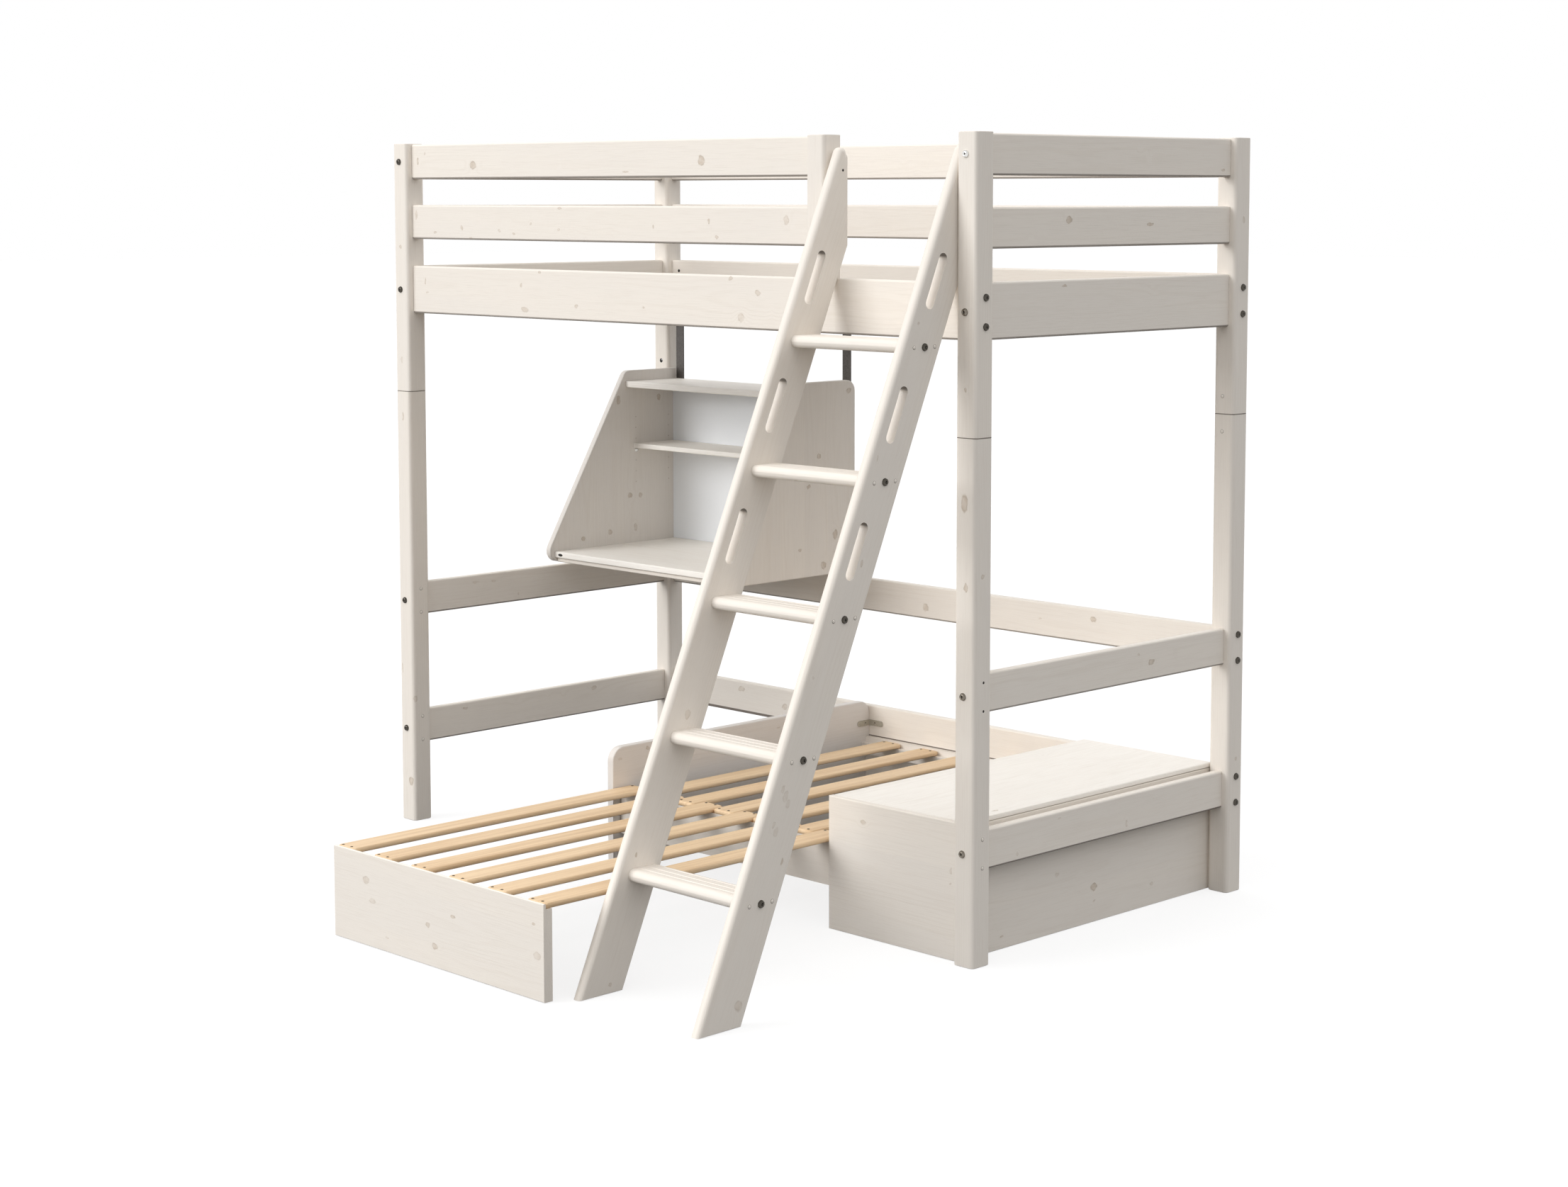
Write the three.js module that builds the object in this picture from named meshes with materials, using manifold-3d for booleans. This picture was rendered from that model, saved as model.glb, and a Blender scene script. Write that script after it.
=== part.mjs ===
// Loft bed in whitewashed pine: a high bunk with a ladder, a desk hung under it,
// a slatted seat with a pull-out bed base, and a storage chest with a lid.
// Millimetres. X runs along the bed, Y from the ladder side to the wall side, Z up.

import * as THREE from 'three';
import { mergeVertices } from 'three/addons/utils/BufferGeometryUtils.js';
import Module from 'manifold-3d';

const wasm = await Module();
wasm.setup();

// Clearance between touching pieces, and how far a cutter runs past what it cuts
const fit = 0.3;
const overrun = 40;

// Frame of posts
const bedLength = 2103;
const bedWidth = 1000;
const bedHeight = 1850;
const postSide = 60;
const postRound = 11;
const postEase = 1.5;
const upperPostLength = 667.4;
const entryWidth = 405;

// Rails between the posts
const railThick = 22;
const railInset = 18.5;
const railRound = 5;
const topRailDrop = 2.5;
const topRailHeight = 92.5;
const guardRailDrop = 164;
const guardRailHeight = 91;
const bedRailDrop = 327.3;
const bedRailHeight = 127.4;
const lowerRailBottom = 567.5;
const lowerRailHeight = 89.7;
const bottomRailBottom = 212;
const bottomRailHeight = 91.4;

// Slat base of the loft
const ledgeWidth = 30;
const ledgeHeight = 25;
const ledgeRise = 30;
const loftSlats = 15;
const loftSlatWidth = 70;
const loftSlatThick = 18;
const loftSlatGap = 2;
const tapeWidth = 30;
const tapeThick = 1.5;
const tapeInset = 180;

// Ladder, leaning back towards the bed
const ladderLean = THREE.MathUtils.degToRad(23.51);
const ladderRise = 26.65;
const ladderBack = 44.4;
const ladderWidth = 398;
const stringerThick = 27;
const stringerDepth = 111;
const stringerNose = 14.7;
const stringerRound = 12;
const stringerEdge = 3;
const rungCount = 5;
const firstRungHeight = 248.8;
const topRungDrop = 10.5;
const rungLine = 70.5;
const rungDepth = 80;
const rungThick = 28;
const rungNose = 13.5;
const rungRound = 6;
const grooveCount = 3;
const grooveStart = 26;
const groovePitch = 21.6;
const grooveWidth = 5;
const grooveDepth = 2;
const slotCount = 3;
const slotWidth = 25.5;
const slotLength = 130;
const slotForward = 24.4;

// Desk hung from the bed on two steel straps
const deskGap = 2.9;
const deskWidth = 752.1;
const deskHeight = 532;
const deskHang = 189.3;
const deskPanelThick = 19;
const deskPanelFoot = 508.5;
const deskPanelHead = 197.5;
const deskFootRound = 31;
const deskHeadRound = 25;
const deskBackRound = 30;
const deskEdge = 2.5;
const desktopRise = 30;
const desktopThick = 18;
const desktopDepth = 468;
const apronThick = 18;
const apronSetback = 7;
const topShelfDrop = 30;
const topShelfThick = 18;
const topShelfDepth = 198;
const middleShelfDrop = 212;
const middleShelfThick = 14;
const middleShelfDepth = 155;
const backPanelThick = 14;
const strapWidth = 30;
const strapThick = 4;
const strapOverlap = 25;

// Seat and chest boards
const boxFront = 20;
const boxHeight = 317;
const boxRound = 35;
const boxBoard = 18;
const boxEdge = 2.5;
const seatBoard = 22;
const seatWidth = 767;
const chestWidth = 404;
const chestGap = 23.5;
const chestFloorLift = 20;
const chestFloorThick = 12;
const lidThick = 13;
const lidGap = 1.5;
const hingePin = 2.2;
const hingeLeafThick = 1.6;
const hingeLeafHeight = 26;

// Slats of the seat and of the pull-out, side by side in turn
const slatTop = 215;
const slatThick = 12;
const slatGap = 3;
const slatRound = 10;
const slatEdge = 3;
const slatInset = 1.75;
const fixedSlats = 5;
const fixedSlatStart = 40;
const beamFront = 44;
const beamThick = 22;
const beamHeight = 108;
const lipThick = 14.9;
const lipHeight = 15;
const backBoardHeight = 123;
const seatLedgeDepth = 17;
const seatLedgeHeight = 30;

// Pull-out base, drawn as far as it comes
const pullReach = 834;
const pullLeftGap = 1;
const pullRightGap = 6.5;
const pullFloorGap = 1;
const pullBoardThick = 23.5;
const pullLipThick = 6.5;
const pullBoardRound = 2;
const pullTail = 15;
const crossbarThick = 12;
const crossbarHeight = 30;

// Angle bracket between the seat's side panel and the back rail
const bracketLevel = 247.4;
const bracketHeight = 16;
const bracketThick = 2;
const bracketPanelLeg = 48;
const bracketRailLeg = 52;

// Facets of the rounded corners and edges
const cornerSteps = 3;
const edgeSteps = 2;
const roundSteps = 4;
const noseSteps = 9;
const pinSides = 12;

// Faces and levels that several pieces share
const guardPostLeft = bedLength - 2 * postSide - entryWidth;
const lowerPostHeight = bedHeight - upperPostLength;
const guardRailBottom = bedHeight - guardRailDrop - guardRailHeight;
const bedRailBottom = bedHeight - bedRailDrop - bedRailHeight;
const railFront = railInset + railThick;
const railBack = bedWidth - railInset - railThick;
const ledgeTop = bedRailBottom + ledgeRise + ledgeHeight;
const ladderSlope = Math.tan(ladderLean);
const ladderReach = ladderSlope * (bedHeight + ladderRise) - ladderBack;
const rungRise = (bedRailBottom - topRungDrop - firstRungHeight) / (rungCount - 1);
const strapBack = railBack - fit;
const deskBack = strapBack - strapThick - fit;
const deskInner = deskWidth - 2 * deskPanelThick;
const deskTop = bedRailBottom - deskHang;
const deskBottom = deskTop - deskHeight;
const desktopLevel = deskBottom + desktopRise;
const topShelfLevel = deskTop - topShelfDrop;
const middleShelfLevel = deskTop - middleShelfDrop;
const boxBack = railBack - fit;
const chestRight = bedLength - railInset - railThick - chestGap;
const chestLeft = chestRight - chestWidth;
const seatRight = chestLeft;
const seatLeft = seatRight - seatWidth;
const runnerLevel = slatTop - slatThick - fit;
const beamBack = beamFront + beamThick;
const lipFront = boxBack - lipThick;
const pullSlats = fixedSlats + 1;
const pullWidth = seatWidth - pullLeftGap - pullRightGap;
const slatSpan = pullWidth - 2 * slatInset;
const slatWidth = (slatSpan + slatGap) / (pullSlats + fixedSlats) - slatGap;
const slatPitch = 2 * (slatWidth + slatGap);
const slatMiddle = seatLeft + pullLeftGap + pullWidth / 2;
const boxSideTop = boxHeight - lidThick - fit;

// Finishes
const pine = { color: 0xeee7de, roughness: 0.55, metalness: 0 };
const beech = { color: 0xe2c49c, roughness: 0.5, metalness: 0 };
const magnetBoard = { color: 0xe4e9ec, roughness: 0.3, metalness: 0 };
const darkSteel = { color: 0x4b4846, roughness: 0.45, metalness: 0.7 };
const nickel = { color: 0xa39a8a, roughness: 0.35, metalness: 0.8 };
const webbing = { color: 0xd9cfbf, roughness: 0.8, metalness: 0 };

// Directions of an extruded section: along the bed, or towards the ladder side
const xAxis = new THREE.Vector3(1, 0, 0);
const yAxis = new THREE.Vector3(0, 1, 0);
const zAxis = new THREE.Vector3(0, 0, 1);
const upright = new THREE.Matrix4();
const alongBed = new THREE.Matrix4().makeBasis(yAxis, zAxis, xAxis);
const towardsFront = new THREE.Matrix4().makeBasis(xAxis, zAxis, yAxis.clone().negate());

// Outline through corners [x, y, radius], each rounded by its own radius
function outline(corners, steps = cornerSteps) {
  const points = [];
  corners.forEach(([x, y, radius], index) => {
    const corner = new THREE.Vector2(x, y);
    if (!radius) {
      points.push(corner);
      return;
    }
    const [lastX, lastY] = corners.at(index - 1);
    const [nextX, nextY] = corners[(index + 1) % corners.length];
    const back = new THREE.Vector2(lastX, lastY).sub(corner).normalize();
    const ahead = new THREE.Vector2(nextX, nextY).sub(corner).normalize();
    const half = back.angleTo(ahead) / 2;
    const inward = back.clone().add(ahead).normalize();
    const centre = corner.clone().addScaledVector(inward, radius / Math.sin(half));
    const start = corner.clone().addScaledVector(back, radius / Math.tan(half));
    const sweep = Math.sign(ahead.cross(back)) * (Math.PI - 2 * half);
    for (let step = 0; step <= steps; step += 1) {
      points.push(start.clone().rotateAround(centre, (sweep * step) / steps));
    }
  });
  const apart = points.filter((point, index) => point.distanceTo(points.at(index - 1)) > fit / 2);
  return new THREE.Shape(apart);
}

// Rectangle from its lower left corner, with equal rounded corners
function rectangle(width, height, round = 0, steps = cornerSteps) {
  return outline([[0, 0, round], [width, 0, round], [width, height, round], [0, height, round]], steps);
}

// Outline moved so that its bounding rectangle is centred
function centred(shape, width, height) {
  const moved = shape.getPoints().map((point) => point.sub(new THREE.Vector2(width / 2, height / 2)));
  return new THREE.Shape(moved);
}

// Board cut to an outline, with its edges rounded over
function board(shape, thick, edge = 0, steps = edgeSteps) {
  if (!edge) {
    return new THREE.ExtrudeGeometry(shape, { depth: thick, bevelEnabled: false });
  }
  const geometry = new THREE.ExtrudeGeometry(shape, {
    depth: thick - 2 * edge,
    bevelThickness: edge,
    bevelSize: edge,
    bevelOffset: -edge,
    bevelSegments: steps,
  });
  return geometry.translate(0, 0, edge);
}

// Bar of rounded section, with its middle line on the axis
function bar(width, height, length, round, ease = 0) {
  const section = rectangle(width, height, round);
  return board(centred(section, width, height), length, ease, 1);
}

// Closed geometry placed by a matrix, as a solid that can be joined and cut
function solid(geometry, matrix = upright) {
  const placed = geometry.clone().applyMatrix4(matrix);
  placed.deleteAttribute('normal');
  placed.deleteAttribute('uv');
  const merged = mergeVertices(placed);
  const mesh = new wasm.Mesh({
    numProp: 3,
    vertProperties: merged.attributes.position.array,
    triVerts: new Uint32Array(merged.index.array),
  });
  return new wasm.Manifold(mesh);
}

// Matrix that turns a section's direction and then moves it
function at(x, y, z, turn = upright) {
  return new THREE.Matrix4().makeTranslation(x, y, z).multiply(turn);
}

// Geometry of a joined or cut solid
function faceted(manifold) {
  const { vertProperties, triVerts } = manifold.getMesh();
  const geometry = new THREE.BufferGeometry();
  geometry.setAttribute('position', new THREE.BufferAttribute(vertProperties, 3));
  geometry.setIndex(new THREE.BufferAttribute(triVerts, 1));
  const plain = geometry.toNonIndexed();
  plain.computeVertexNormals();
  return plain;
}

// Named piece in its place
function piece(parent, name, geometry, finish, [x, y, z], turn = upright) {
  const mesh = new THREE.Mesh(geometry, new THREE.MeshStandardMaterial(finish));
  mesh.name = name;
  mesh.position.set(x, y, z);
  mesh.rotation.setFromRotationMatrix(turn);
  parent.add(mesh);
}

const loftBed = new THREE.Group();
loftBed.position.set(-bedLength / 2, -(bedWidth - pullReach) / 2, 0);

// Corner posts, each in two lengths
function post(height) {
  return bar(postSide, postSide, height, postRound, postEase);
}

const upperPostHeight = bedHeight - lowerPostHeight - fit;
for (const [side, y] of [['front', postSide / 2], ['back', bedWidth - postSide / 2]]) {
  for (const [end, x] of [['left', postSide / 2], ['right', bedLength - postSide / 2]]) {
    const upperStart = lowerPostHeight + fit;
    piece(loftBed, `${side}_${end}_lower_post`, post(lowerPostHeight), pine, [x, y, 0]);
    piece(loftBed, `${side}_${end}_upper_post`, post(upperPostHeight), pine, [x, y, upperStart]);
  }
}

// Guard post beside the ladder, standing on the bed rail and lapping down behind it
const guardPostBottom = ledgeTop + fit;
const guardPostHeight = bedHeight - guardPostBottom;
const lapHeight = bedRailBottom + bedRailHeight + fit - guardPostBottom;
const lapCut = board(rectangle(postSide + 2 * overrun, overrun + railFront + fit), lapHeight + overrun);
const guardPost = solid(post(guardPostHeight), at(postSide / 2, postSide / 2, 0))
  .subtract(solid(lapCut, at(-overrun, -overrun, -overrun)));
piece(loftBed, 'ladder_guard_post', faceted(guardPost), pine, [guardPostLeft, 0, guardPostBottom]);

// Rails: their levels, and the sides that carry them
const railLevels = {
  top: { bottom: bedHeight - topRailDrop - topRailHeight, height: topRailHeight },
  guard: { bottom: guardRailBottom, height: guardRailHeight },
  bed: { bottom: bedRailBottom, height: bedRailHeight },
  lower: { bottom: lowerRailBottom, height: lowerRailHeight },
  bottom: { bottom: bottomRailBottom, height: bottomRailHeight },
};

const railStart = postSide + fit;
const fullRail = bedLength - 2 * railStart;
const entryRail = guardPostLeft - fit - railStart;
const frontRails = { top: entryRail, guard: entryRail, bed: fullRail };

function railGeometry(level, length) {
  return bar(railThick, railLevels[level].height, length, railRound);
}

function railMiddle(level) {
  return railLevels[level].bottom + railLevels[level].height / 2;
}

for (const [level, length] of Object.entries(frontRails)) {
  const place = [railStart, railFront - railThick / 2, railMiddle(level)];
  piece(loftBed, `front_${level}_rail`, railGeometry(level, length), pine, place, alongBed);
}

for (const level of Object.keys(railLevels)) {
  const backPlace = [railStart, railBack + railThick / 2, railMiddle(level)];
  piece(loftBed, `back_${level}_rail`, railGeometry(level, fullRail), pine, backPlace, alongBed);
  const endRail = bedWidth - 2 * railStart;
  for (const [end, x] of [['left', railFront - railThick / 2], ['right', bedLength - railFront + railThick / 2]]) {
    const place = [x, bedWidth - railStart, railMiddle(level)];
    piece(loftBed, `${end}_end_${level}_rail`, railGeometry(level, endRail), pine, place, towardsFront);
  }
}

// Ledges inside the bed rails, and the slat base that lies on them
const ledgeGeometry = bar(ledgeWidth, ledgeHeight, fullRail, boxEdge);
const ledgeMiddle = ledgeTop - ledgeHeight / 2;
const frontLedge = [railStart, railFront + fit + ledgeWidth / 2, ledgeMiddle];
const backLedge = [railStart, railBack - fit - ledgeWidth / 2, ledgeMiddle];
piece(loftBed, 'front_slat_ledge', ledgeGeometry, pine, frontLedge, alongBed);
piece(loftBed, 'back_slat_ledge', ledgeGeometry.clone(), pine, backLedge, alongBed);

const loftStart = postSide + loftSlatGap;
const loftSlatLength = bedWidth - 2 * loftStart;
const loftSlatRun = bedLength - 2 * loftStart;
const loftPitch = (loftSlatRun - loftSlatWidth) / (loftSlats - 1);
const loftSlat = board(rectangle(loftSlatWidth, loftSlatLength), loftSlatThick);
const tape = board(rectangle(loftSlatRun, tapeWidth), 2 * tapeThick);
let slatBase = solid(tape, at(0, tapeInset, -tapeThick));
slatBase = slatBase.add(solid(tape, at(0, loftSlatLength - tapeInset - tapeWidth, -tapeThick)));
for (let index = 0; index < loftSlats; index += 1) {
  slatBase = slatBase.add(solid(loftSlat, at(index * loftPitch, 0, 0)));
}
piece(loftBed, 'loft_slat_base', faceted(slatBase), beech, [loftStart, loftStart, ledgeTop + fit]);

// Ladder stringers: a board with a full round front, cut plumb at the back and level at the foot
const ladder = new THREE.Group();
ladder.position.set(bedLength - postSide - fit - ladderWidth, 0, 0);
loftBed.add(ladder);

function frontLine(z) {
  return -ladderReach + ladderSlope * z;
}

const apex = (ladderBack + ladderReach) / ladderSlope;
const noseTop = apex - stringerNose / Math.tan(ladderLean / 2);
const stringerSpan = stringerDepth / Math.cos(ladderLean);
const plumbStart = (ladderBack + ladderReach - stringerSpan) / ladderSlope;
const roundBoard = board(outline([
  [frontLine(-overrun), -overrun, 0],
  [ladderBack + overrun, -overrun, 0],
  [ladderBack + overrun, noseTop, 0],
  [ladderBack, noseTop, 0],
  [ladderBack, apex, stringerNose],
], noseSteps), stringerThick, stringerRound, roundSteps);
const sawnBoard = board(outline([
  [-ladderReach - overrun, 0, 0],
  [frontLine(0) + stringerSpan, 0, 0],
  [ladderBack, plumbStart, 0],
  [ladderBack, apex, 0],
  [-ladderReach - overrun, apex, 0],
]), stringerThick, stringerEdge);
let stringer = solid(roundBoard).intersect(solid(sawnBoard));

// Hand slots, half way between the rungs
const slotRound = (slotWidth - fit) / 2;
const slotCutter = board(
  centred(rectangle(slotWidth, slotLength, slotRound, roundSteps), slotWidth, slotLength),
  stringerThick + 2 * overrun,
).rotateZ(-ladderLean);

function rungPlace(index) {
  const z = firstRungHeight + rungRise * index;
  return [frontLine(z) + rungLine, z];
}

for (let slot = 0; slot < slotCount; slot += 1) {
  const [y, z] = rungPlace(rungCount - slot - 1 / 2);
  stringer = stringer.subtract(solid(slotCutter, at(y - slotForward, z, -overrun)));
}
const rightStringer = [ladderWidth - stringerThick, 0, 0];
piece(ladder, 'ladder_left_stringer', faceted(stringer), pine, [0, 0, 0], alongBed);
piece(ladder, 'ladder_right_stringer', faceted(stringer), pine, rightStringer, alongBed);

// Rungs with a round front and grooves along the tread
const rungLength = ladderWidth - 2 * (stringerThick + fit);
const grooves = [];
for (let groove = grooveCount - 1; groove >= 0; groove -= 1) {
  const y = grooveStart + groovePitch * groove - rungDepth / 2;
  grooves.push([y + grooveWidth / 2, rungThick / 2, 0]);
  grooves.push([y, rungThick / 2 - grooveDepth, 0]);
  grooves.push([y - grooveWidth / 2, rungThick / 2, 0]);
}
const rungProfile = outline([
  [-rungDepth / 2, -rungThick / 2, rungNose],
  [rungDepth / 2, -rungThick / 2, rungRound],
  [rungDepth / 2, rungThick / 2, rungRound],
  ...grooves,
  [-rungDepth / 2, rungThick / 2, rungNose],
], roundSteps);
for (let rung = 0; rung < rungCount; rung += 1) {
  const [y, z] = rungPlace(rung);
  const place = [stringerThick + fit, y, z];
  piece(ladder, `ladder_rung_${rung + 1}`, board(rungProfile, rungLength), pine, place, alongBed);
}

// Desk: two side panels with slanted fronts, a desktop with an apron, two shelves and a back
const desk = new THREE.Group();
desk.position.set(postSide + deskGap, 0, 0);
loftBed.add(desk);

function deskPanel(backRound) {
  return board(outline([
    [deskBack - deskPanelFoot, deskBottom, deskFootRound],
    [deskBack, deskBottom, 0],
    [deskBack, deskTop, backRound],
    [deskBack - deskPanelHead, deskTop, deskHeadRound],
  ], roundSteps + 1), deskPanelThick, deskEdge);
}

const rightDeskPanel = [deskWidth - deskPanelThick, 0, 0];
piece(desk, 'desk_left_panel', deskPanel(0), pine, [0, 0, 0], alongBed);
piece(desk, 'desk_right_panel', deskPanel(deskBackRound), pine, rightDeskPanel, alongBed);

const deskBoardStart = deskPanelThick + fit;
const deskBoardLength = deskInner - 2 * fit;

function deskBoard(name, depth, level, thick, back) {
  const geometry = board(rectangle(deskBoardLength, depth), thick, deskEdge);
  piece(desk, name, geometry, pine, [deskBoardStart, back - depth, level - thick]);
}

const shelfBack = deskBack - backPanelThick - fit;
deskBoard('desk_top_board', desktopDepth, desktopLevel, desktopThick, deskBack);
deskBoard('desk_top_shelf', topShelfDepth, topShelfLevel, topShelfThick, deskBack);
deskBoard('desk_middle_shelf', middleShelfDepth, middleShelfLevel, middleShelfThick, shelfBack);

const apronHeight = desktopLevel - desktopThick - fit - deskBottom;
const apronBack = deskBack - desktopDepth + apronSetback + apronThick;
const apron = board(rectangle(deskBoardLength, apronHeight), apronThick, deskEdge);
piece(desk, 'desk_apron', apron, pine, [deskBoardStart, apronBack, deskBottom], towardsFront);

const backPanelHeight = topShelfLevel - topShelfThick - desktopLevel - 2 * fit;
const backPanel = board(rectangle(deskBoardLength, backPanelHeight), backPanelThick);
const backPanelPlace = [deskBoardStart, deskBack, desktopLevel + fit];
piece(desk, 'desk_magnetic_back', backPanel, magnetBoard, backPanelPlace, towardsFront);

const strapBottom = lowerRailBottom + strapOverlap;
const strapHeight = bedRailBottom + ledgeRise - fit - strapBottom;
for (const [side, x] of [['left', deskPanelThick], ['right', deskWidth - deskPanelThick - strapWidth]]) {
  const strap = board(rectangle(strapWidth, strapThick), strapHeight);
  const place = [x, strapBack - strapThick, strapBottom];
  piece(desk, `desk_${side}_strap`, strap, darkSteel, place);
}

// Seat: side panel, back board with a ledge, and fixed slats on the front beam
const sidePanel = board(outline([
  [boxFront, 0, 0],
  [boxBack, 0, 0],
  [boxBack, boxHeight, boxRound],
  [boxFront, boxHeight, boxRound],
], roundSteps + 1), seatBoard, boxEdge);
piece(loftBed, 'seat_side_panel', sidePanel, pine, [seatLeft - seatBoard, 0, 0], alongBed);

const lipTop = runnerLevel + lipHeight;
const backBoard = board(outline([
  [lipFront - seatLedgeDepth, runnerLevel - seatLedgeHeight, 0],
  [lipFront, runnerLevel - seatLedgeHeight, 0],
  [lipFront, lipTop - backBoardHeight, 0],
  [boxBack, lipTop - backBoardHeight, 0],
  [boxBack, lipTop, 0],
  [lipFront, lipTop, 0],
  [lipFront, runnerLevel, 0],
  [lipFront - seatLedgeDepth, runnerLevel, 0],
]), seatWidth - 2 * fit);
piece(loftBed, 'seat_back_board', backBoard, pine, [seatLeft + fit, 0, 0], alongBed);

// Row of slats on a bar that runs under one end of them, with a seat under each slat
function slatRow({ count, length, thick, bottom, barStart, barWidth, barThick, barHeight }) {
  const slat = board(rectangle(slatWidth, length, slatRound), thick, slatEdge, 1);
  const rail = board(rectangle(barWidth, barHeight), barThick);
  const seat = board(rectangle(slatWidth - 2 * slatEdge, barThick - 2 * fit), bottom + thick / 2 - runnerLevel + fit);
  const railPlace = at(-barWidth / 2, barStart + barThick, runnerLevel - barHeight, towardsFront);
  let row = solid(rail, railPlace);
  for (let index = 0; index < count; index += 1) {
    const x = slatPitch * (index - (count - 1) / 2);
    row = row.add(solid(seat, at(x - slatWidth / 2 + slatEdge, barStart + fit, runnerLevel - fit)));
    row = row.add(solid(slat, at(x - slatWidth / 2, 0, bottom)));
  }
  return faceted(row);
}

const fixedDeck = slatRow({
  count: fixedSlats,
  length: lipFront - fit - fixedSlatStart,
  thick: slatThick - fit,
  bottom: slatTop - slatThick + fit,
  barStart: beamFront - fixedSlatStart,
  barWidth: slatSpan,
  barThick: beamThick,
  barHeight: beamHeight,
});
piece(loftBed, 'seat_fixed_slats', fixedDeck, beech, [slatMiddle, fixedSlatStart, 0]);

// Pull-out base: front board with a rebate, and slats on a crossbar behind the beam
const pullOut = new THREE.Group();
pullOut.position.set(slatMiddle, -pullReach, 0);
loftBed.add(pullOut);

const pullBoard = board(outline([
  [0, pullFloorGap, pullBoardRound],
  [pullBoardThick, pullFloorGap, 0],
  [pullBoardThick, runnerLevel, 0],
  [pullLipThick, runnerLevel, 0],
  [pullLipThick, slatTop, pullBoardRound],
  [0, slatTop, pullBoardRound],
]), pullWidth);
piece(pullOut, 'pullout_front_board', pullBoard, pine, [-pullWidth / 2, 0, 0], alongBed);

const pullSlatStart = pullLipThick + fit;
const pullSlatEnd = pullReach + beamBack + pullTail;
const pullDeck = slatRow({
  count: pullSlats,
  length: pullSlatEnd - pullSlatStart,
  thick: slatThick,
  bottom: slatTop - slatThick,
  barStart: pullReach + beamBack + fit - pullSlatStart,
  barWidth: slatSpan,
  barThick: crossbarThick,
  barHeight: crossbarHeight,
});
piece(pullOut, 'pullout_slats', pullDeck, beech, [0, pullSlatStart, 0]);

// Chest with a lid hinged on its seat side
const chest = new THREE.Group();
chest.position.set(chestLeft, 0, 0);
loftBed.add(chest);

const chestFrontBack = boxFront + boxBoard;
const chestSideLength = boxBack - chestFrontBack - fit;
const chestFront = board(rectangle(chestWidth, boxHeight), boxBoard, boxEdge);
piece(chest, 'chest_front', chestFront, pine, [0, chestFrontBack, 0], towardsFront);

for (const [side, x] of [['left', 0], ['right', chestWidth - boxBoard]]) {
  const panel = board(rectangle(chestSideLength, boxSideTop), boxBoard, boxEdge);
  piece(chest, `chest_${side}_side`, panel, pine, [x, chestFrontBack + fit, 0], alongBed);
}

const chestInner = boxBoard + fit;
const chestClear = chestWidth - 2 * chestInner;
const chestBack = board(rectangle(chestClear, boxSideTop), boxBoard, boxEdge);
piece(chest, 'chest_back', chestBack, pine, [chestInner, boxBack, 0], towardsFront);

const chestFloor = board(rectangle(chestClear, chestSideLength - boxBoard - 2 * fit), chestFloorThick);
const chestFloorPlace = [chestInner, chestFrontBack + 2 * fit, chestFloorLift];
piece(chest, 'chest_floor', chestFloor, pine, chestFloorPlace);

const lidFront = chestFrontBack + lidGap;
const lidLength = boxBack - lidGap - lidFront;
const lid = board(rectangle(chestWidth, lidLength), lidThick, boxEdge);
piece(chest, 'chest_lid', lid, pine, [0, lidFront, boxHeight - lidThick]);

// Piano hinge: a leaf on the chest's side and a pin tube along the lid's lower edge
const leafPlace = at(-fit - hingeLeafThick, 0, -hingeLeafHeight);
const leaf = solid(board(rectangle(hingeLeafThick, lidLength), hingeLeafHeight), leafPlace);
const pinTube = new THREE.CylinderGeometry(hingePin, hingePin, lidLength, pinSides);
const knuckle = solid(pinTube, at(-fit - hingePin, lidLength / 2, 0));
const hingeLevel = boxHeight - lidThick + fit;
const hingePlace = [0, lidFront, hingeLevel];
piece(chest, 'chest_hinge', faceted(leaf.add(knuckle)), nickel, hingePlace);

// Angle bracket: two round-ended legs
function leg(length) {
  const round = bracketHeight / 2 - fit;
  return board(outline([
    [0, 0, 0],
    [length, 0, round],
    [length, bracketHeight, round],
    [0, bracketHeight, 0],
  ], roundSteps), bracketThick);
}

const panelLegTurn = new THREE.Matrix4().makeBasis(yAxis.clone().negate(), zAxis, xAxis.clone().negate());
const bracket = solid(leg(bracketRailLeg), at(0, 0, 0, towardsFront))
  .add(solid(leg(bracketPanelLeg), at(bracketThick, 0, 0, panelLegTurn)));
const bracketPlace = [seatLeft + fit, boxBack, bracketLevel];
piece(loftBed, 'seat_bracket', faceted(bracket), nickel, bracketPlace);

export default loftBed;
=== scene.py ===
# Loft bed: finishes, fixings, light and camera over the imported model.
# Metres, in the model's own frame: X along the bed, Y to the wall, Z up.
import bpy, math
import numpy as np
from mathutils import Matrix, Vector


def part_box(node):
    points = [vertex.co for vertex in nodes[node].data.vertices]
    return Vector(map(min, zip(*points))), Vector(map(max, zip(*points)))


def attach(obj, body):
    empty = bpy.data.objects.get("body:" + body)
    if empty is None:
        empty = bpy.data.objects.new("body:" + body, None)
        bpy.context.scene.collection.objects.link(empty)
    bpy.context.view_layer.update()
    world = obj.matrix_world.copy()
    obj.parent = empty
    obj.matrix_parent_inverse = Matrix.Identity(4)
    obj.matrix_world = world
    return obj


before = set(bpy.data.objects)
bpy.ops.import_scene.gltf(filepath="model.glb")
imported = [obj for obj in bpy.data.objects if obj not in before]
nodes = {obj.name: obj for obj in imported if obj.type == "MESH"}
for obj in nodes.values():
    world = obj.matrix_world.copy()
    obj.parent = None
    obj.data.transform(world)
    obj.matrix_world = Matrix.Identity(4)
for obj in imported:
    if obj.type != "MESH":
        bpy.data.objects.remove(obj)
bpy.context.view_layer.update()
print("bed: packed model loaded,", len(nodes), "nodes")

# Places are measured from here: the foot of the front left post's outer corner, in mm in the model's frame
footCorner = np.array((-1051.5, -83.0, 0.0))


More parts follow.
